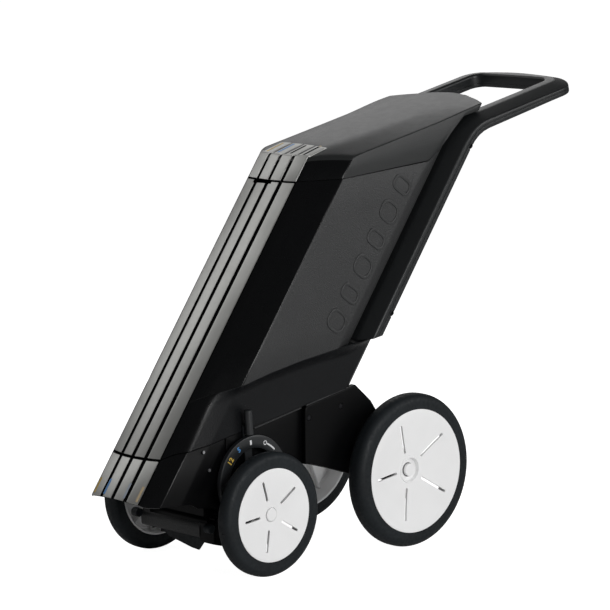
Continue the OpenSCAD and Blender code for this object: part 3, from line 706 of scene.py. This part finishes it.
def edge_round(n):
    """Radius of the lid's top edge: soft along the front, crisp along the sides and rear."""
    t = max(0.0, min(1.0, (n - 48) / 10))
    return LID_FRONT_ROUND + (LID_SIDE_ROUND - LID_FRONT_ROUND) * t


def inset_by(points, amounts):
    """Moves each outline point inwards by its own amount."""
    far = inset(points, 1.0)
    return [(p[0] + (q[0] - p[0]) * d, p[1] + (q[1] - p[1]) * d) for p, q, d in zip(points, far, amounts)]


def lid():
    outline = dense(LID, 8)
    radii = [edge_round(n) for x, n in outline]
    inner = inset(outline, WALL)
    near = inset(outline, 0.3)

    def rim(y):
        return lid_seam(y) + 0.5

    low_u = [climb(n, rim) for x, n in outline]
    top_u = [lid_u(x, n) for x, n in outline]
    rings = [level(inner, rim)]
    rings.append([lean(x, n, u) for (x, n), u in zip(near, low_u)])
    rings.append(level(outline, rim, 1.0))
    rings.append([lean(x, n, max(u + 1.2, (u + t) / 2)) for (x, n), u, t in zip(outline, low_u, top_u)])
    for k in range(7):
        phi = k / 6 * pi / 2
        ring = inset_by(outline, [r * (1 - cos(phi)) for r in radii])
        rings.append([
            lean(x, n, max(lid_u(x, n) - r * (1 - sin(phi)) * 1.15, u + 1.4 + 0.1 * k))
            for (x, n), u, r in zip(ring, low_u, radii)
        ])
    edge = inset_by(outline, radii)
    top_scales = (0.97, 0.92, 0.86, 0.79, 0.72, 0.65, 0.57, 0.5, 0.42, 0.33, 0.22, 0.1, 0.0)
    under_scales = (0.0, 0.35, 0.64, 0.9, 1.0)
    for points, scales, sink in ((edge, top_scales, 0.0), (inset(edge, WALL - 2), under_scales, 4.0)):
        for s in scales:
            ring = [(x * s, LID_CENTRE_N + (n - LID_CENTRE_N) * s) for x, n in points]
            rings.append([lean(x, n, lid_u(x, n) - sink) for x, n in ring])
    top_rows = len(rings) - len(under_scales)
    verts, faces = loft(rings, wrap=True)
    count = len(outline)
    faces = [f for f in faces if f[0] // count != top_rows - 1]
    zones = [face_zone(outline, f, (BODY_HALF, 50)) if f[0] // count < 4 else 2 for f in faces]
    shell = make("lid_body", (verts, faces), "lid", "groove", "lid_shell", 32.0, zones,
                 ("band", "lid"))
    cut(shell, hinge_slots(), 32.0)


def hinge_slots():
    """Slots in the lid's rear rim for the bracket's ears, and a groove for the pin."""
    slot = rect(619, 780, 660, HINGE_Z + 9.4)
    ears = [slab_mesh(slot, x0, x1) for x0, x1 in ((59.5, 72), (-72, -59.5))]
    return ears + [rod_mesh(at(-60, HINGE_Y, HINGE_Z), at(60, HINGE_Y, HINGE_Z), 4.2, 24)]


def lid_knuckles():
    outline = [(HINGE_Y - 8 * cos(pi * k / 12), HINGE_Z - 8 * sin(pi * k / 12)) for k in range(13)]
    outline += [(HINGE_Y + 5, HINGE_Z + 8), (HINGE_Y - 14, HINGE_Z + 6)]
    parts = [slab_mesh(outline, x0, x1) for x0, x1 in ((-59.5, -30), (30, 59.5))]
    o = make("lid_knuckle_look", merged(*parts), "lid", "lid", "lid_shell")
    cut(o, [rod_mesh(at(-62, HINGE_Y, HINGE_Z), at(62, HINGE_Y, HINGE_Z), 3.05, 32)])
    round_edges(o, 0.5, 2)


TOP_STRIP_END = 250.0
STRIP_RISE = 1.1


def lid_strip_pieces():
    """Silver strips on the lid's front face, wrapped over its edge onto the top."""
    for i in range(4):
        outline = strip_outline(i)
        rings = [
            [lean(x, panel_n(x) + d + sink, climb(panel_n(x), lambda y: lid_seam(y) + 0.7) + lift)
             for x, d in outline]
            for lift, sink in ((0.0, 0.6), (0.3, 0.15), (0.9, 0.0))
        ]
        rings.append([lean(x, panel_n(x) + d, 636) for x, d in outline])
        for k in range(8):
            rings.append([strip_turn(x, d, k / 7 * pi / 2) for x, d in outline])
        end = TOP_STRIP_END - 1.5 * i
        first = 198.0
        for y in [first + (end - 3 - first) * k / 6 for k in range(7)] + [end - 1.2, end]:
            drop = {0: 1.4, 1: 0.35}.get(int(end - y + 0.5), 0.0)
            rings.append([at(x, y, lid_top(x, y) + STRIP_RISE - d - drop) for x, d in outline])
        make(f"lid_strip_look_{i + 1}", loft(rings, caps=True), "lid", "silver",
             "lid_strips", 40.0)


def strip_turn(x, depth, phi):
    """Point on the rounded front edge of the lid, phi from the front face to the top."""
    r = LID_FRONT_ROUND
    n = panel_n(x) + r * (1 - cos(phi))
    out = STRIP_RISE * sin(phi)
    y, z = lean_yz(n + depth * cos(phi), lid_u(x, panel_n(x) + r) - r * (1 - sin(phi)))
    return at(x, y, z + out - depth * sin(phi))


# ---- sighting marks ----


def front_mark(row, side, x, key):
    """A printed bar on the nose, standing on the strips' face."""
    xs = [x - MARK_W / 2 + MARK_W * k / 4 for k in range(5)]
    outline = [(v, panel_n(v) - 0.35) for v in xs] + [(v, panel_n(v) + 0.1) for v in reversed(xs)]
    rings = [[lean(v, n, 5 - NOSE_DROP + up) for v, n in outline] for up in (0, 16, 32)]
    make(f"nose_mark_{row}_{side}", loft(rings, caps=True), "frame", key,
         f"nose_marks_{row}")


def top_mark(row, side, x, y0, y1, key):
    """A printed bar on the lid's top strips."""
    xs = [x - MARK_W / 2 + MARK_W * j / 4 for j in range(5)]
    rings = []
    for k in range(7):
        y = y0 + (y1 - y0) * k / 6
        face = [at(v, y, lid_top(v, y) + STRIP_RISE + 0.25) for v in xs]
        rings.append(face + [at(v, y, lid_top(v, y) + STRIP_RISE - 0.3) for v in reversed(xs)])
    make(f"lid_mark_{row}_{side}", loft(rings, caps=True), "lid", key, f"lid_marks_{row}")


def sighting_marks():
    front_mark("wide", "left", -62, "yellow")
    front_mark("wide", "right", 61, "tan")
    front_mark("narrow", "left", -29, "blue")
    front_mark("narrow", "right", 28, "pale")
    top_mark("wide", "left", -57, 200, 244, "yellow")
    top_mark("wide", "right", 48, 200, 241, "groove")
    top_mark("wide", "end", 48, 243, 247, "tan")
    top_mark("narrow", "left", -24, 200, 243, "blue")
    top_mark("narrow", "right", 12, 200, 241, "groove")


# ---- nose ----


def nose_bottom(y):
    return line_at([(-400, 150), (-238, 150), (-146, 149), (-126, 139), (-58, 129)], y)


NOSE_BACK = -58.0


def nose():
    """U-shaped fairing under the hopper's lower seam."""
    right = [(99, 25), (109, 60), (111, 150), (113, 200)]
    front = panel_arc(SKIN)
    points = [(-x, n) for x, n in reversed(right)] + front + right
    radii = [0, 40, 24, 4] + [0] * len(front) + [4, 24, 40, 0]
    outline = dense(rounded(points, radii, closed=False), 7, closed=False)

    def top(n):
        rear = (NOSE_BACK - SEAM_Y - n * cos(LEAN)) / sin(LEAN)
        return min(climb(n, lambda y: skirt_seam(y) - 1.2), rear)

    def bottom(n):
        return max(-NOSE_DROP, climb(n, nose_bottom))

    outline = [p for p in outline if top(p[1]) > bottom(p[1]) + 2]
    near = inset(outline, 0.3, closed=False)
    inner = inset(outline, WALL, closed=False)
    rings = []
    for points, end, lift in (
        (near, bottom, 0), (outline, bottom, 1), (outline, top, -1), (near, top, 0), (inner, top, 0),
        (inner, bottom, 0),
    ):
        rings.append([lean(x, n, end(o[1]) + lift) for (x, n), o in zip(points, outline)])
    verts, faces = loft(rings, closed=False, wrap=True)
    count = len(outline)
    faces.append(tuple(r * count for r in range(len(rings))))
    faces.append(tuple(r * count + count - 1 for r in range(len(rings))))
    zones = [zone(*outline[f[0] % count], (99, 25)) for f in faces]
    make("nose_look", (verts, faces), "frame", "groove", "nose_cover", 32.0, zones,
         ("band", "frame"))


# ---- handle ----


def grip_top(y):
    return 843 + GRIP_SLOPE * (y - 601)


def grip_line_point(s):
    """Point and outward normal (y, z) of the handle's outer face at s along it from the arm's foot."""
    rise = cos(LEAN) / sin(LEAN)
    y0, z0 = lean_yz(HOPPER_DEPTH, 0)
    slope = atan2(GRIP_SLOPE, 1)
    y_bend = (grip_top(0) - z0 + rise * y0) / (rise - GRIP_SLOPE)
    foot_y, foot_z = lean_yz(HOPPER_DEPTH, ARM_FOOT)
    arm_length = hypot(y_bend - foot_y, grip_top(y_bend) - foot_z)
    turn = pi / 2 - LEAN - slope
    tangent = BEND_RADIUS * tan(turn / 2)
    start = arm_length - tangent
    arc_length = BEND_RADIUS * turn
    if s <= start:
        return foot_y + s * sin(LEAN), foot_z + s * cos(LEAN), -cos(LEAN), sin(LEAN)
    y1, z1 = foot_y + start * sin(LEAN), foot_z + start * cos(LEAN)
    cy, cz = y1 + BEND_RADIUS * cos(LEAN), z1 - BEND_RADIUS * sin(LEAN)
    a = min(s - start, arc_length) / BEND_RADIUS
    ny, nz = -cos(LEAN + a), sin(LEAN + a)
    y, z = cy + BEND_RADIUS * ny, cz + BEND_RADIUS * nz
    rest = max(0.0, s - start - arc_length)
    return y + rest * cos(slope), z + rest * sin(slope), ny, nz


ARM_FOOT = 428.0
BEND_RADIUS = 118.0
HANDLE_FRONT = 22.5
HANDLE_DEPTH = 33.6
CORNER_OUT = 48.0
CORNER_IN = 24.0
CROSSBAR = 26.0


def handle_length():
    """Length along the handle's face from the foot to its rear edge."""
    return halve(400.0, 900.0, lambda s: grip_line_point(s)[0] < HANDLE_REACH)


def handle_stations():
    """Pairs of inner and outer points (x, s) along the right arm and half the crossbar."""
    end_out = handle_length()
    end_in = end_out - CROSSBAR
    pairs = []
    steps = 34
    for k in range(steps + 1):
        t = k / steps
        pairs.append(((GRIP_HALF, t * (end_in - CORNER_IN)), (HANDLE_HALF, t * (end_out - CORNER_OUT))))
    for k in range(1, 13):
        a = k / 12 * pi / 2
        inner = (GRIP_HALF - CORNER_IN * (1 - cos(a)), end_in - CORNER_IN * (1 - sin(a)))
        outer = (HANDLE_HALF - CORNER_OUT * (1 - cos(a)), end_out - CORNER_OUT * (1 - sin(a)))
        pairs.append((inner, outer))
    for k in range(1, 7):
        t = 1 - k / 6
        pairs.append((((GRIP_HALF - CORNER_IN) * t, end_in), ((HANDLE_HALF - CORNER_OUT) * t, end_out)))
    return pairs


def handle_shell(name, d0, d1, round_top, round_bottom, node, groove=0.0):
    """One shell of the handle, between depths d0 and d1 under the outer face."""
    rings = []
    outer = d0 == 0
    for (xi, si), (xo, so) in handle_stations():
        width = hypot(xo - xi, so - si)
        fall = 0.45 * max(0.0, width - CROSSBAR) if outer else 0.0
        thin = 1.0 - 0.12 * max(0.0, min(1.0, ((si + so) / 2 - 440) / 280))
        low, high = d1 * thin, d0 * thin
        points = rounded(
            [(groove, low), (groove, high), (width * 0.42, high + 0.1 * fall), (width - groove, high + fall),
             (width - groove, low)],
            [round_bottom, min(round_top, 7), 24 if outer else 0.2, round_top, round_bottom], 6,
        )
        ring = []
        for a, d in points:
            t = a / width
            foot = climb(HOPPER_DEPTH + d, crease) + 1.0 - ARM_FOOT if so == 0 else 0.0
            y, z, ny, nz = grip_line_point(si + (so - si) * t + foot)
            ring.append(at(xi + (xo - xi) * t, y - ny * d, z - nz * d))
        rings.append(ring)
    left = [[Vector((-q.x, q.y, q.z)) for q in ring] for ring in reversed(rings[:-1])]
    return make(name, loft(rings + left, caps=True), "frame", "handle", node, 40.0)


def handle():
    handle_shell("handle_front_look", 0, HANDLE_FRONT - 0.5, 15, 0.8, "handle_front")
    handle_shell("handle_core_look", HANDLE_FRONT - 2, HANDLE_FRONT + 2, 0.2, 0.2, "handle_front", groove=1.2)
    back = handle_shell("handle_rear_look", HANDLE_FRONT + 0.5, HANDLE_DEPTH, 0.8, 6, "handle_rear")
    recesses = []
    heads = []
    for sign in (-1, 1):
        for along in (60, 440):
            y, z, ny, nz = grip_line_point(along)
            low, mid, high = [at(sign * 154.5, y - ny * d, z - nz * d) for d in (27, 30, 42)]
            recesses.append(rod_mesh(low, high, 6.5, 24))
            heads.append(rod_mesh(low, mid, 6.2, 24, 5.6))
    cut(back, recesses, 40.0)
    make("handle_recess_screws", merged(*heads), "frame", "dark_screw", "handle_rear")


# ---- wheels ----


def arc(cx, cr, r, a0, a1, steps):
    """Arc points in (x, radius) coordinates, angles in degrees from the outward radius."""
    return [
        (cx + r * sin(radians(a0 + (a1 - a0) * k / steps)), cr + r * cos(radians(a0 + (a1 - a0) * k / steps)))
        for k in range(steps + 1)
    ]


def tyre_profile(r, r_in, x_in, x_out):
    w = x_out - x_in
    c = w * 0.40
    profile = arc(x_in + c, r - c, c, -92, 0, 10) + arc(x_out - c, r - c, c, 0, 92, 10)
    profile += [(x_out - 0.4, r_in + 5), (x_out - 0.2, r_in + 1.2), (x_out - 1.2, r_in)]
    profile += [(x_in + 1.2, r_in), (x_in + 0.2, r_in + 1.2), (x_in + 0.4, r_in + 5)]
    return profile


# Inner end of the rear hub's sleeve, and the seat of its washer
HUB_IN = 123.0
HUB_SEAT = 143.0


def wheel(name, sign, centre, r, r_disc, x_in, x_out, slots, body, cap_node):
    side = "right" if sign > 0 else "left"
    rear = name == "rear"
    dish, hub_r, sag = (20, 17, 9) if rear else (9, 14, 0)

    def bowl(q):
        """Where the disc's outer face stands at radius q: it falls from the rim to the hub."""
        t = min(1, max(0, (q - hub_r) / (r_disc - 4 - hub_r)))
        return x_out - dish * (1 - t) - sag * t * (1 - t)

    def spoke(turn, x, across, out):
        """Point at a turn in degrees round the axle: across the spoke, and out along it."""
        a = radians(turn)
        p = Vector((0, cos(a), -sin(a)))
        q = Vector((0, sin(a), cos(a)))
        return at(
            sign * x, centre[0] + p.y * across + q.y * out, centre[1] + p.z * across + q.z * out)

    def turned(kind, profile, steps, node, smooth=35.0, ribs=()):
        key, slot = ("tyre", "tyre") if kind == "tyre" else ("white", "disc_white")
        shape = merged(revolve(profile, centre, steps, sign), *ribs)
        return make(f"{name}_{kind}_look_{side}", shape, body, key, node, smooth)

    tyre = turned("tyre", tyre_profile(r, r_disc, x_in, x_out), 120, f"{name}_tyre_{side}", 30.0)
    nicks = []
    for turn in range(44, 404, 72):
        mid = spoke(turn, x_out - 8, 0, r + 0.5)
        ends = [mid + Vector((sign * x * MM, 0, 0)) for x in (-9, 12)]
        nicks.append(rod_mesh(*ends, 1.6, 12))
    cut(tyre, nicks, 30.0)

    floor = bowl(0)
    radii = [r_disc * f for f in (0.9, 0.78, 0.65, 0.52, 0.4)]
    face = [(x_out - 0.6, r_disc - 0.2), (x_out - 0.2, r_disc - 1.5), (x_out - 0.3, r_disc - 4)]
    face += [(bowl(q), q) for q in radii]
    back = [(bowl(q) - 4, q) for q in radii[:0:-1]]
    back += [(x_out - 4.5, r_disc - 8), (x_out - 10, r_disc - 4.2), (x_in + 1, r_disc - 4.2)]
    back += [(x_in, r_disc - 3.2), (x_in, r_disc - 0.4)]
    if rear:
        lip = bowl(27)
        face += [(lip, 27), (lip + 1.4, 25.6), (lip + 1.2, 24), (floor - 4, 21.5), (floor - 5, 14)]
        back = [(floor - 9, 14), (floor - 9, 26)] + back
    else:
        face += [(bowl(20), 20), (floor, 14)]
        back = [(floor - 4, 14)] + back
    disc = turned("disc", face + back, 120, f"{name}_disc_{side}", 30.0)
    outline = rounded(rect(-2.5, slots[0] * r_disc, 2.5, slots[1] * r_disc), [2.4] * 4)
    openings = []
    for k in range(5):
        ends = [[spoke(-(72 * k + 22), x, p, q) for p, q in outline] for x in (floor - 14, x_out + 3)]
        openings.append(loft(ends, caps=True))
    cut(disc, openings, 30.0)

    tube = [(x_in + 0.5, 5.1), (x_in + 0.5, 14), (floor - 3, 15), (floor - 3, 5.1)]
    if rear:
        tube = [(HUB_IN, 6.2), (HUB_IN, 15.4), (HUB_IN + 0.6, 16), (x_in + 0.9, 17)]
        tube += [(floor - 5, 17), (floor - 5, 14), (HUB_SEAT, 14), (HUB_SEAT, 6.2)]
    edge = [(x_in + 2, 15), (floor - 6, 15)] + [(bowl(q) - 2, q) for q in reversed(radii)]
    edge += [(x_out - 6, r_disc - 5), (x_out - 12, r_disc - 5)]
    ribs = []
    for turn in range(0, 360, 36):
        ribs.append(loft([[spoke(turn, x, off, q) for x, q in edge] for off in (-1.0, 1.0)], caps=True))
    turned("hub", tube, 48, f"{name}_disc_{side}", ribs=ribs)
    cap = [(-4, 0.01), (-4, 12.1), (1.2, 12.5), (2.0, 11.7), (2.3, 9.5), (2.35, 0.01)]
    turned("cap", [(floor + x, q) for x, q in cap], 48, cap_node)


def wheels():
    for sign, side in SIDES:
        wheel("front", sign, (0.0, AXLE_Z), 119.0, 89.7, 149.6, 183.6, (0.33, 0.8),
              "front_wheels", "front_caps")
        wheel("rear", sign, (WHEELBASE, REAR_Z), 152.2, 122.6, 136.6, 180.6, (0.3, 0.82),
              f"rear_wheel_{side}", f"hub_caps_{side}")


# ---- dial and lever ----

DIAL_OUT = 85.5
DIAL_IN = 61.0
DIAL_X = 117.5
DIAL_W = 10.0
DIAL_MID = (DIAL_IN + DIAL_OUT) / 2


def dial():
    profile = [(0, DIAL_IN), (0, DIAL_OUT - 1.5), (1, DIAL_OUT), (DIAL_W - 2.5, DIAL_OUT)]
    profile += [(DIAL_W - 0.7, DIAL_OUT - 0.7), (DIAL_W, DIAL_OUT - 2.5), (DIAL_W, DIAL_IN + 2)]
    profile += [(DIAL_W - 0.6, DIAL_IN + 0.5), (DIAL_W - 2, DIAL_IN)]
    legs = []
    for a in (150, 200, 250, 290):
        y, z = -DIAL_MID * sin(radians(a)), DIAL_Z + DIAL_MID * cos(radians(a))
        legs.append(rod_mesh(at(110, y, z), at(DIAL_X + 1, y, z), 5))
    shape = merged(revolve([(DIAL_X + x, r) for x, r in profile], (0.0, DIAL_Z), 128), *legs)
    ring = make("dial_ring_look", shape, "frame", "dial", "dial_ring", 30.0)
    cut(ring, [rod_mesh(at(DIAL_X - 2, 0, AXLE_Z), at(DIAL_X + DIAL_W + 2, 0, AXLE_Z), 7, 40)], 30.0)
    dial_text("12", 54.5, "yellow", "dial_marks_wide", 15)
    dial_text("5", 32, "blue", "dial_marks_narrow", 14)
    bar = rounded(rect(-2.2, -4.5, 2.2, 4.5), [1.4] * 4)
    rings = [[on_dial(7, a, b, lift) for a, b in bar] for lift in (-0.2, 0.4)]
    make("dial_mark_plain", loft(rings, caps=True), "frame", "print", "dial_marks_plain")
    dial_closed()


def on_dial(turn, across, out, lift):
    """Point on the dial's face: turn from straight up towards the front, then across and outwards."""
    t = radians(turn)
    r = DIAL_MID + out
    y = -r * sin(t) + across * cos(t)
    z = DIAL_Z + r * cos(t) + across * sin(t)
    return at(DIAL_X + DIAL_W + lift, y, z)


def dial_text(text, turn, key, node, size):
    """A numeral on the dial's face, upright towards the rim."""
    curve = bpy.data.curves.new("numeral", "FONT")
    curve.body = text
    curve.size = size
    curve.extrude = 0.25
    curve.offset = 0.35
    curve.align_x = "CENTER"
    curve.align_y = "CENTER"
    temp = add("numeral", curve)
    bpy.context.view_layer.update()
    me = bpy.data.meshes.new_from_object(temp.evaluated_get(bpy.context.evaluated_depsgraph_get()))
    verts = [on_dial(turn, v.co.x, v.co.y, 0.2 + v.co.z) for v in me.vertices]
    faces = [tuple(p.vertices) for p in me.polygons]
    bpy.data.objects.remove(temp)
    make(f"dial_numeral_{text}", (verts, faces), "frame", key, node)


def dial_closed():
    """Closed symbol: a ring and a long bar along the dial."""
    ring = []
    for k in range(24):
        a = 2 * pi * k / 24
        ring.append([
            on_dial(-22 + degrees((3.6 + d) * cos(a) / DIAL_MID), 0, (3.6 + d) * sin(a), lift)
            for d, lift in ((-0.8, -0.2), (-0.8, 0.4), (0.8, 0.4), (0.8, -0.2))
        ])
    bar = []
    for k in range(9):
        corners = ((-1.5, -0.2), (-1.5, 0.4), (1.5, 0.4), (1.5, -0.2))
        bar.append([on_dial(-26.5 - 18 * k / 8, 0, b, lift) for b, lift in corners])
    shape = merged(loft(ring, wrap=True), loft(bar, caps=True))
    make("dial_symbol_closed", shape, "frame", "print", "dial_marks_plain")


def lever():
    t = radians(5)
    up = Vector((0, -sin(t), cos(t)))
    across = Vector((0, cos(t), sin(t)))
    arm = []
    for x in (112, 116):
        arm.append([
            at(x, up.y * q + across.y * p, DIAL_Z + up.z * q + across.z * p)
            for p, q in ((-9, 0), (9, 0), (9, 102), (6, 107), (-6, 107), (-9, 102))
        ])
    hub = revolve([(92, 0.01), (92, 20), (116, 20), (116, 0.01)], (0.0, DIAL_Z), 48)
    make("lever_arm_look", merged(loft(arm, caps=True), hub), "width_valve", "dial",
         "width_lever")
    rings = []
    for q, r in ((87.5, 7.5), (88.5, 8.2), (131.5, 8.2), (134.4, 7.8), (135.6, 6.8), (136, 5.2)):
        c = at(122.5, up.y * q, DIAL_Z + up.z * q)
        rings.append(circle(c, Vector((1, 0, 0)), across, r, 32))
    make("lever_pin_look", loft(rings, caps=True), "width_valve", "dial", "width_lever", 30.0)


# ---- frame covers, chute ----


def side_covers():
    for sign, side in SIDES:
        flip = mirrored if sign < 0 else (lambda shape: shape)
        node = f"side_cover_{side}"

        def bore(x0, x1, y, z, r, steps):
            return flip(rod_mesh(at(x0, y, z), at(x1, y, z), r, steps))

        recess = rounded([(-56, 104), (60, 100), (141, 179), (141, 303), (-56, 263.4)], [6, 10, 0, 0, 4])
        panel = make(f"side_panel_look_{side}", flip(slab_mesh(recess, 106, 110)), "frame", "frame",
                     node)
        holes = [bore(100, 120, 0, DIAL_Z, 23, 40)] if sign > 0 else []
        cut(panel, holes + [bore(100, 120, 0, AXLE_Z, 8, 32)])
        round_edges(panel, 0.8, 2)
        outline = rounded(
            [(138, 189), (154, 188), (252, 156), (356, 128), (380, 124), (406, 141), (406, 166), (314, 293),
             (272, 329.2), (138, 302.4)],
            [4, 10, 40, 30, 12, 14, 20, 10, 4, 12],
        )
        cover = make(f"side_cover_look_{side}", flip(slab_mesh(outline, 106, 121)), "frame", "frame",
                     node)
        holes = [bore(117.6, 126, y, z, 5.6, 32) for y, z in ((148, 279), (232, 292), (330, 222))]
        round_edges(cover, 3.2, 4)
        cut(cover, holes + [bore(90, 126, WHEELBASE, REAR_Z, 10, 40)], 30.0)
        front = rod_mesh(at(sign * 110.5, 15, 274), at(sign * 110.5, 136, 298.5), 1.7, 16)
        rear = rod_mesh(at(sign * 118, 142, 303), at(sign * 118, 262, 327), 1.7, 16)
        make(f"side_lip_look_{side}", merged(front, rear), "frame", "side", node)


def lug(sign):
    """Round lug at the end of the shroud, by the wheel."""
    a = at(sign * 98, -95, 95)
    b = at(sign * 113, -95, 95)
    return merged(rod_mesh(a, b, 8.5, 32), rod_mesh(b, b + Vector((sign * 1.2 * MM, 0, 0)), 8.5, 32, 7.4))


def chute():
    """Shroud in front of the feed's outlet: a lidded trough with wings, and a rubber apron under it."""
    def part(name, shape, key="frame", soft=None):
        """A piece of the shroud; soft gives its edges' width and segments of rounding."""
        o = make(name, shape, "frame", key, "chute")
        if soft:
            round_edges(o, *soft)

    front = rounded([(-83, 68), (-84, 92), (-72, 112), (-60, 112), (-60, 68)], [7, 22, 6, 1, 3], 8)
    part("chute_front_look", slab_mesh(front, -107, 64), "side", (2.4, 4))
    side = rounded([(-81, 72), (-81, 104), (-62, 136), (-24, 136), (-20, 131), (-48, 72)], [2, 8, 8, 4, 2, 2])
    body = make("chute_body_look", slab_mesh(side, -83, 83), "frame", "frame", "chute")
    cut(body, [slab_mesh([(-77, 60), (-77, 102), (-60, 131), (-28, 131), (-53, 60)], -79.5, 79.5)])
    round_edges(body, 1.0, 2)
    for k, (y, z) in enumerate(((-74, 109), (-70, 114), (-66, 119))):
        part(f"chute_rib_{k + 1}", rod_mesh(at(-80, y, z), at(100, y, z), 2.2, 16))
    wing = rounded([(-82, 62), (-82, 100), (-74, 108), (-52, 106), (-46, 70), (-60, 56)], [3, 8, 6, 8, 8, 4])
    part("chute_end_look", slab_mesh(wing, 62, 104), soft=(3.0, 4))
    part("chute_lugs", merged(lug(1), lug(-1)), "tyre")
    outline = [(-70, 84), (-30, 58), (38, 46), (58, 44.5), (76, 66), (79, 84)]
    rings = [[at(x, y, z) for x, z in outline] for y in (-79.5, -77)]
    make("apron_look", loft(rings, caps=True), "frame", "tyre", "wind_apron")
    cheeks = [slab_mesh([(-79, 66), (-79, 84), (-51, 84), (-55, 66)], x, x + 2) for x in (-78.5, 76.5)]
    back = slab_mesh([(-58, 56), (-53, 84), (-50.5, 84), (-55.5, 56)], -79, 79)
    make("apron_sides", merged(*cheeks, back), "frame", "seal", "wind_apron")


def carried_over():
    """Gives the CAD nodes that are shown as they are their materials."""
    for key, nodes in (
        ("frame", ("chassis", "hinge_bracket")),
        ("natural", ("funnel", "feed_housing", "front_bush_right", "front_bush_left", "shaft_bushes",
                     "axle_spacer_right", "axle_spacer_left", "axle_gear", "feed_gear", "agitator_gear")),
        ("zinc", ("frame_screws", "axle_nuts", "valve_sleeve")),
        ("dark_screw", ("cover_screws", "handle_screws")),
        ("steel", ("rear_axle", "front_axle", "feed_shaft", "agitator", "hinge_pin")),
        ("seal", ("lid_seal", "feed_rotor")),
    ):
        for node in nodes:
            materials = frame["nodes"][node].data.materials
            materials.clear()
            materials.append(MAT[key])


# ---- stage, light and camera ----

TARGET = at(0, 249.4, 475.0)
AZIMUTH = radians(47.047)
ELEVATION = radians(8.175)
DISTANCE = 6.1263
LENS = 184.46


def camera():
    cam = bpy.data.cameras.new("camera")
    cam.lens = LENS
    cam.sensor_width = 36.0
    o = add("camera", cam)
    back = Vector((sin(AZIMUTH) * cos(ELEVATION), -cos(AZIMUTH) * cos(ELEVATION), sin(ELEVATION)))
    o.location = TARGET + back * DISTANCE
    o.rotation_euler = back.to_track_quat("Z", "Y").to_euler()
    bpy.context.scene.camera = o


def area_light(name, place, aim, size, power):
    light = bpy.data.lights.new(name, "AREA")
    light.shape = "RECTANGLE"
    light.size, light.size_y = size
    light.energy = power
    o = add(name, light)
    o.location = place
    o.rotation_euler = (Vector(place) - Vector(aim)).to_track_quat("Z", "Y").to_euler()


def seen_only(tree, seen, lit):
    """Mixes a shader for the camera's view with one for the light that reaches the object."""
    path = tree.nodes.new("ShaderNodeLightPath")
    mix = tree.nodes.new("ShaderNodeMixShader")
    tree.links.new(path.outputs["Is Camera Ray"], mix.inputs[0])
    tree.links.new(lit, mix.inputs[1])
    tree.links.new(seen, mix.inputs[2])
    return mix.outputs[0]


WORLD_LIGHT = 0.12
FLOOR_GLOW = 0.95


def ground():
    """A pale floor that also glows a little towards the camera."""
    s = 40.0
    o = add("floor", mesh_from("floor", ([(-s, -s, 0), (s, -s, 0), (s, s, 0), (-s, s, 0)], [(0, 1, 2, 3)])))
    pale = node_material("pale_floor", (0.9, 0.9, 0.9), 0.9, specular=0.05)
    c = object_coords(pale)
    plug(pale, ramp(pale, noise(pale, c, 1.5), (0.89, 0.89, 0.89), (0.91, 0.91, 0.91)), "Base Color")
    t = pale.node_tree
    glow = add_node(pale, "ShaderNodeEmission", Strength=FLOOR_GLOW)
    both = t.nodes.new("ShaderNodeAddShader")
    shader = t.nodes["Principled BSDF"].outputs[0]
    t.links.new(shader, both.inputs[0])
    t.links.new(glow.outputs[0], both.inputs[1])
    t.links.new(seen_only(t, both.outputs[0], shader), t.nodes["Material Output"].inputs["Surface"])
    o.data.materials.append(pale)


def studio():
    """A world that looks white and lights dimly, and soft boxes round the object."""
    world = bpy.data.worlds.new("studio")
    world.use_nodes = True
    t = world.node_tree
    white = t.nodes["Background"]
    white.inputs["Color"].default_value = (1, 1, 1, 1)
    white.inputs["Strength"].default_value = 1.0
    dim = add_node(world, "ShaderNodeBackground", Color=(1, 1, 1, 1), Strength=WORLD_LIGHT)
    t.links.new(seen_only(t, white.outputs[0], dim.outputs[0]), t.nodes["World Output"].inputs["Surface"])
    bpy.context.scene.world = world
    aim = (0, 0, 0.5)
    area_light("strip_box", (-2.4, -1.25, 2.4), aim, (1.8, 2.4), 17)
    area_light("side_box", (2.3, 1.9, 1.5), aim, (1.4, 1.4), 22)
    area_light("wheel_key", (3.0, -0.7, 1.3), (0, 0, 0.2), (1.0, 1.0), 48)
    area_light("rear_box", (-2.0, 1.7, 2.0), aim, (1.8, 1.4), 9)
    bpy.context.scene.view_settings.view_transform = "Standard"


camera()
ground()
studio()
carried_over()
hopper()
skirt()
front_strips()
lid()
lid_knuckles()
lid_strip_pieces()
sighting_marks()
nose()
handle()
wheels()
dial()
lever()
side_covers()
chute()
side_relief()
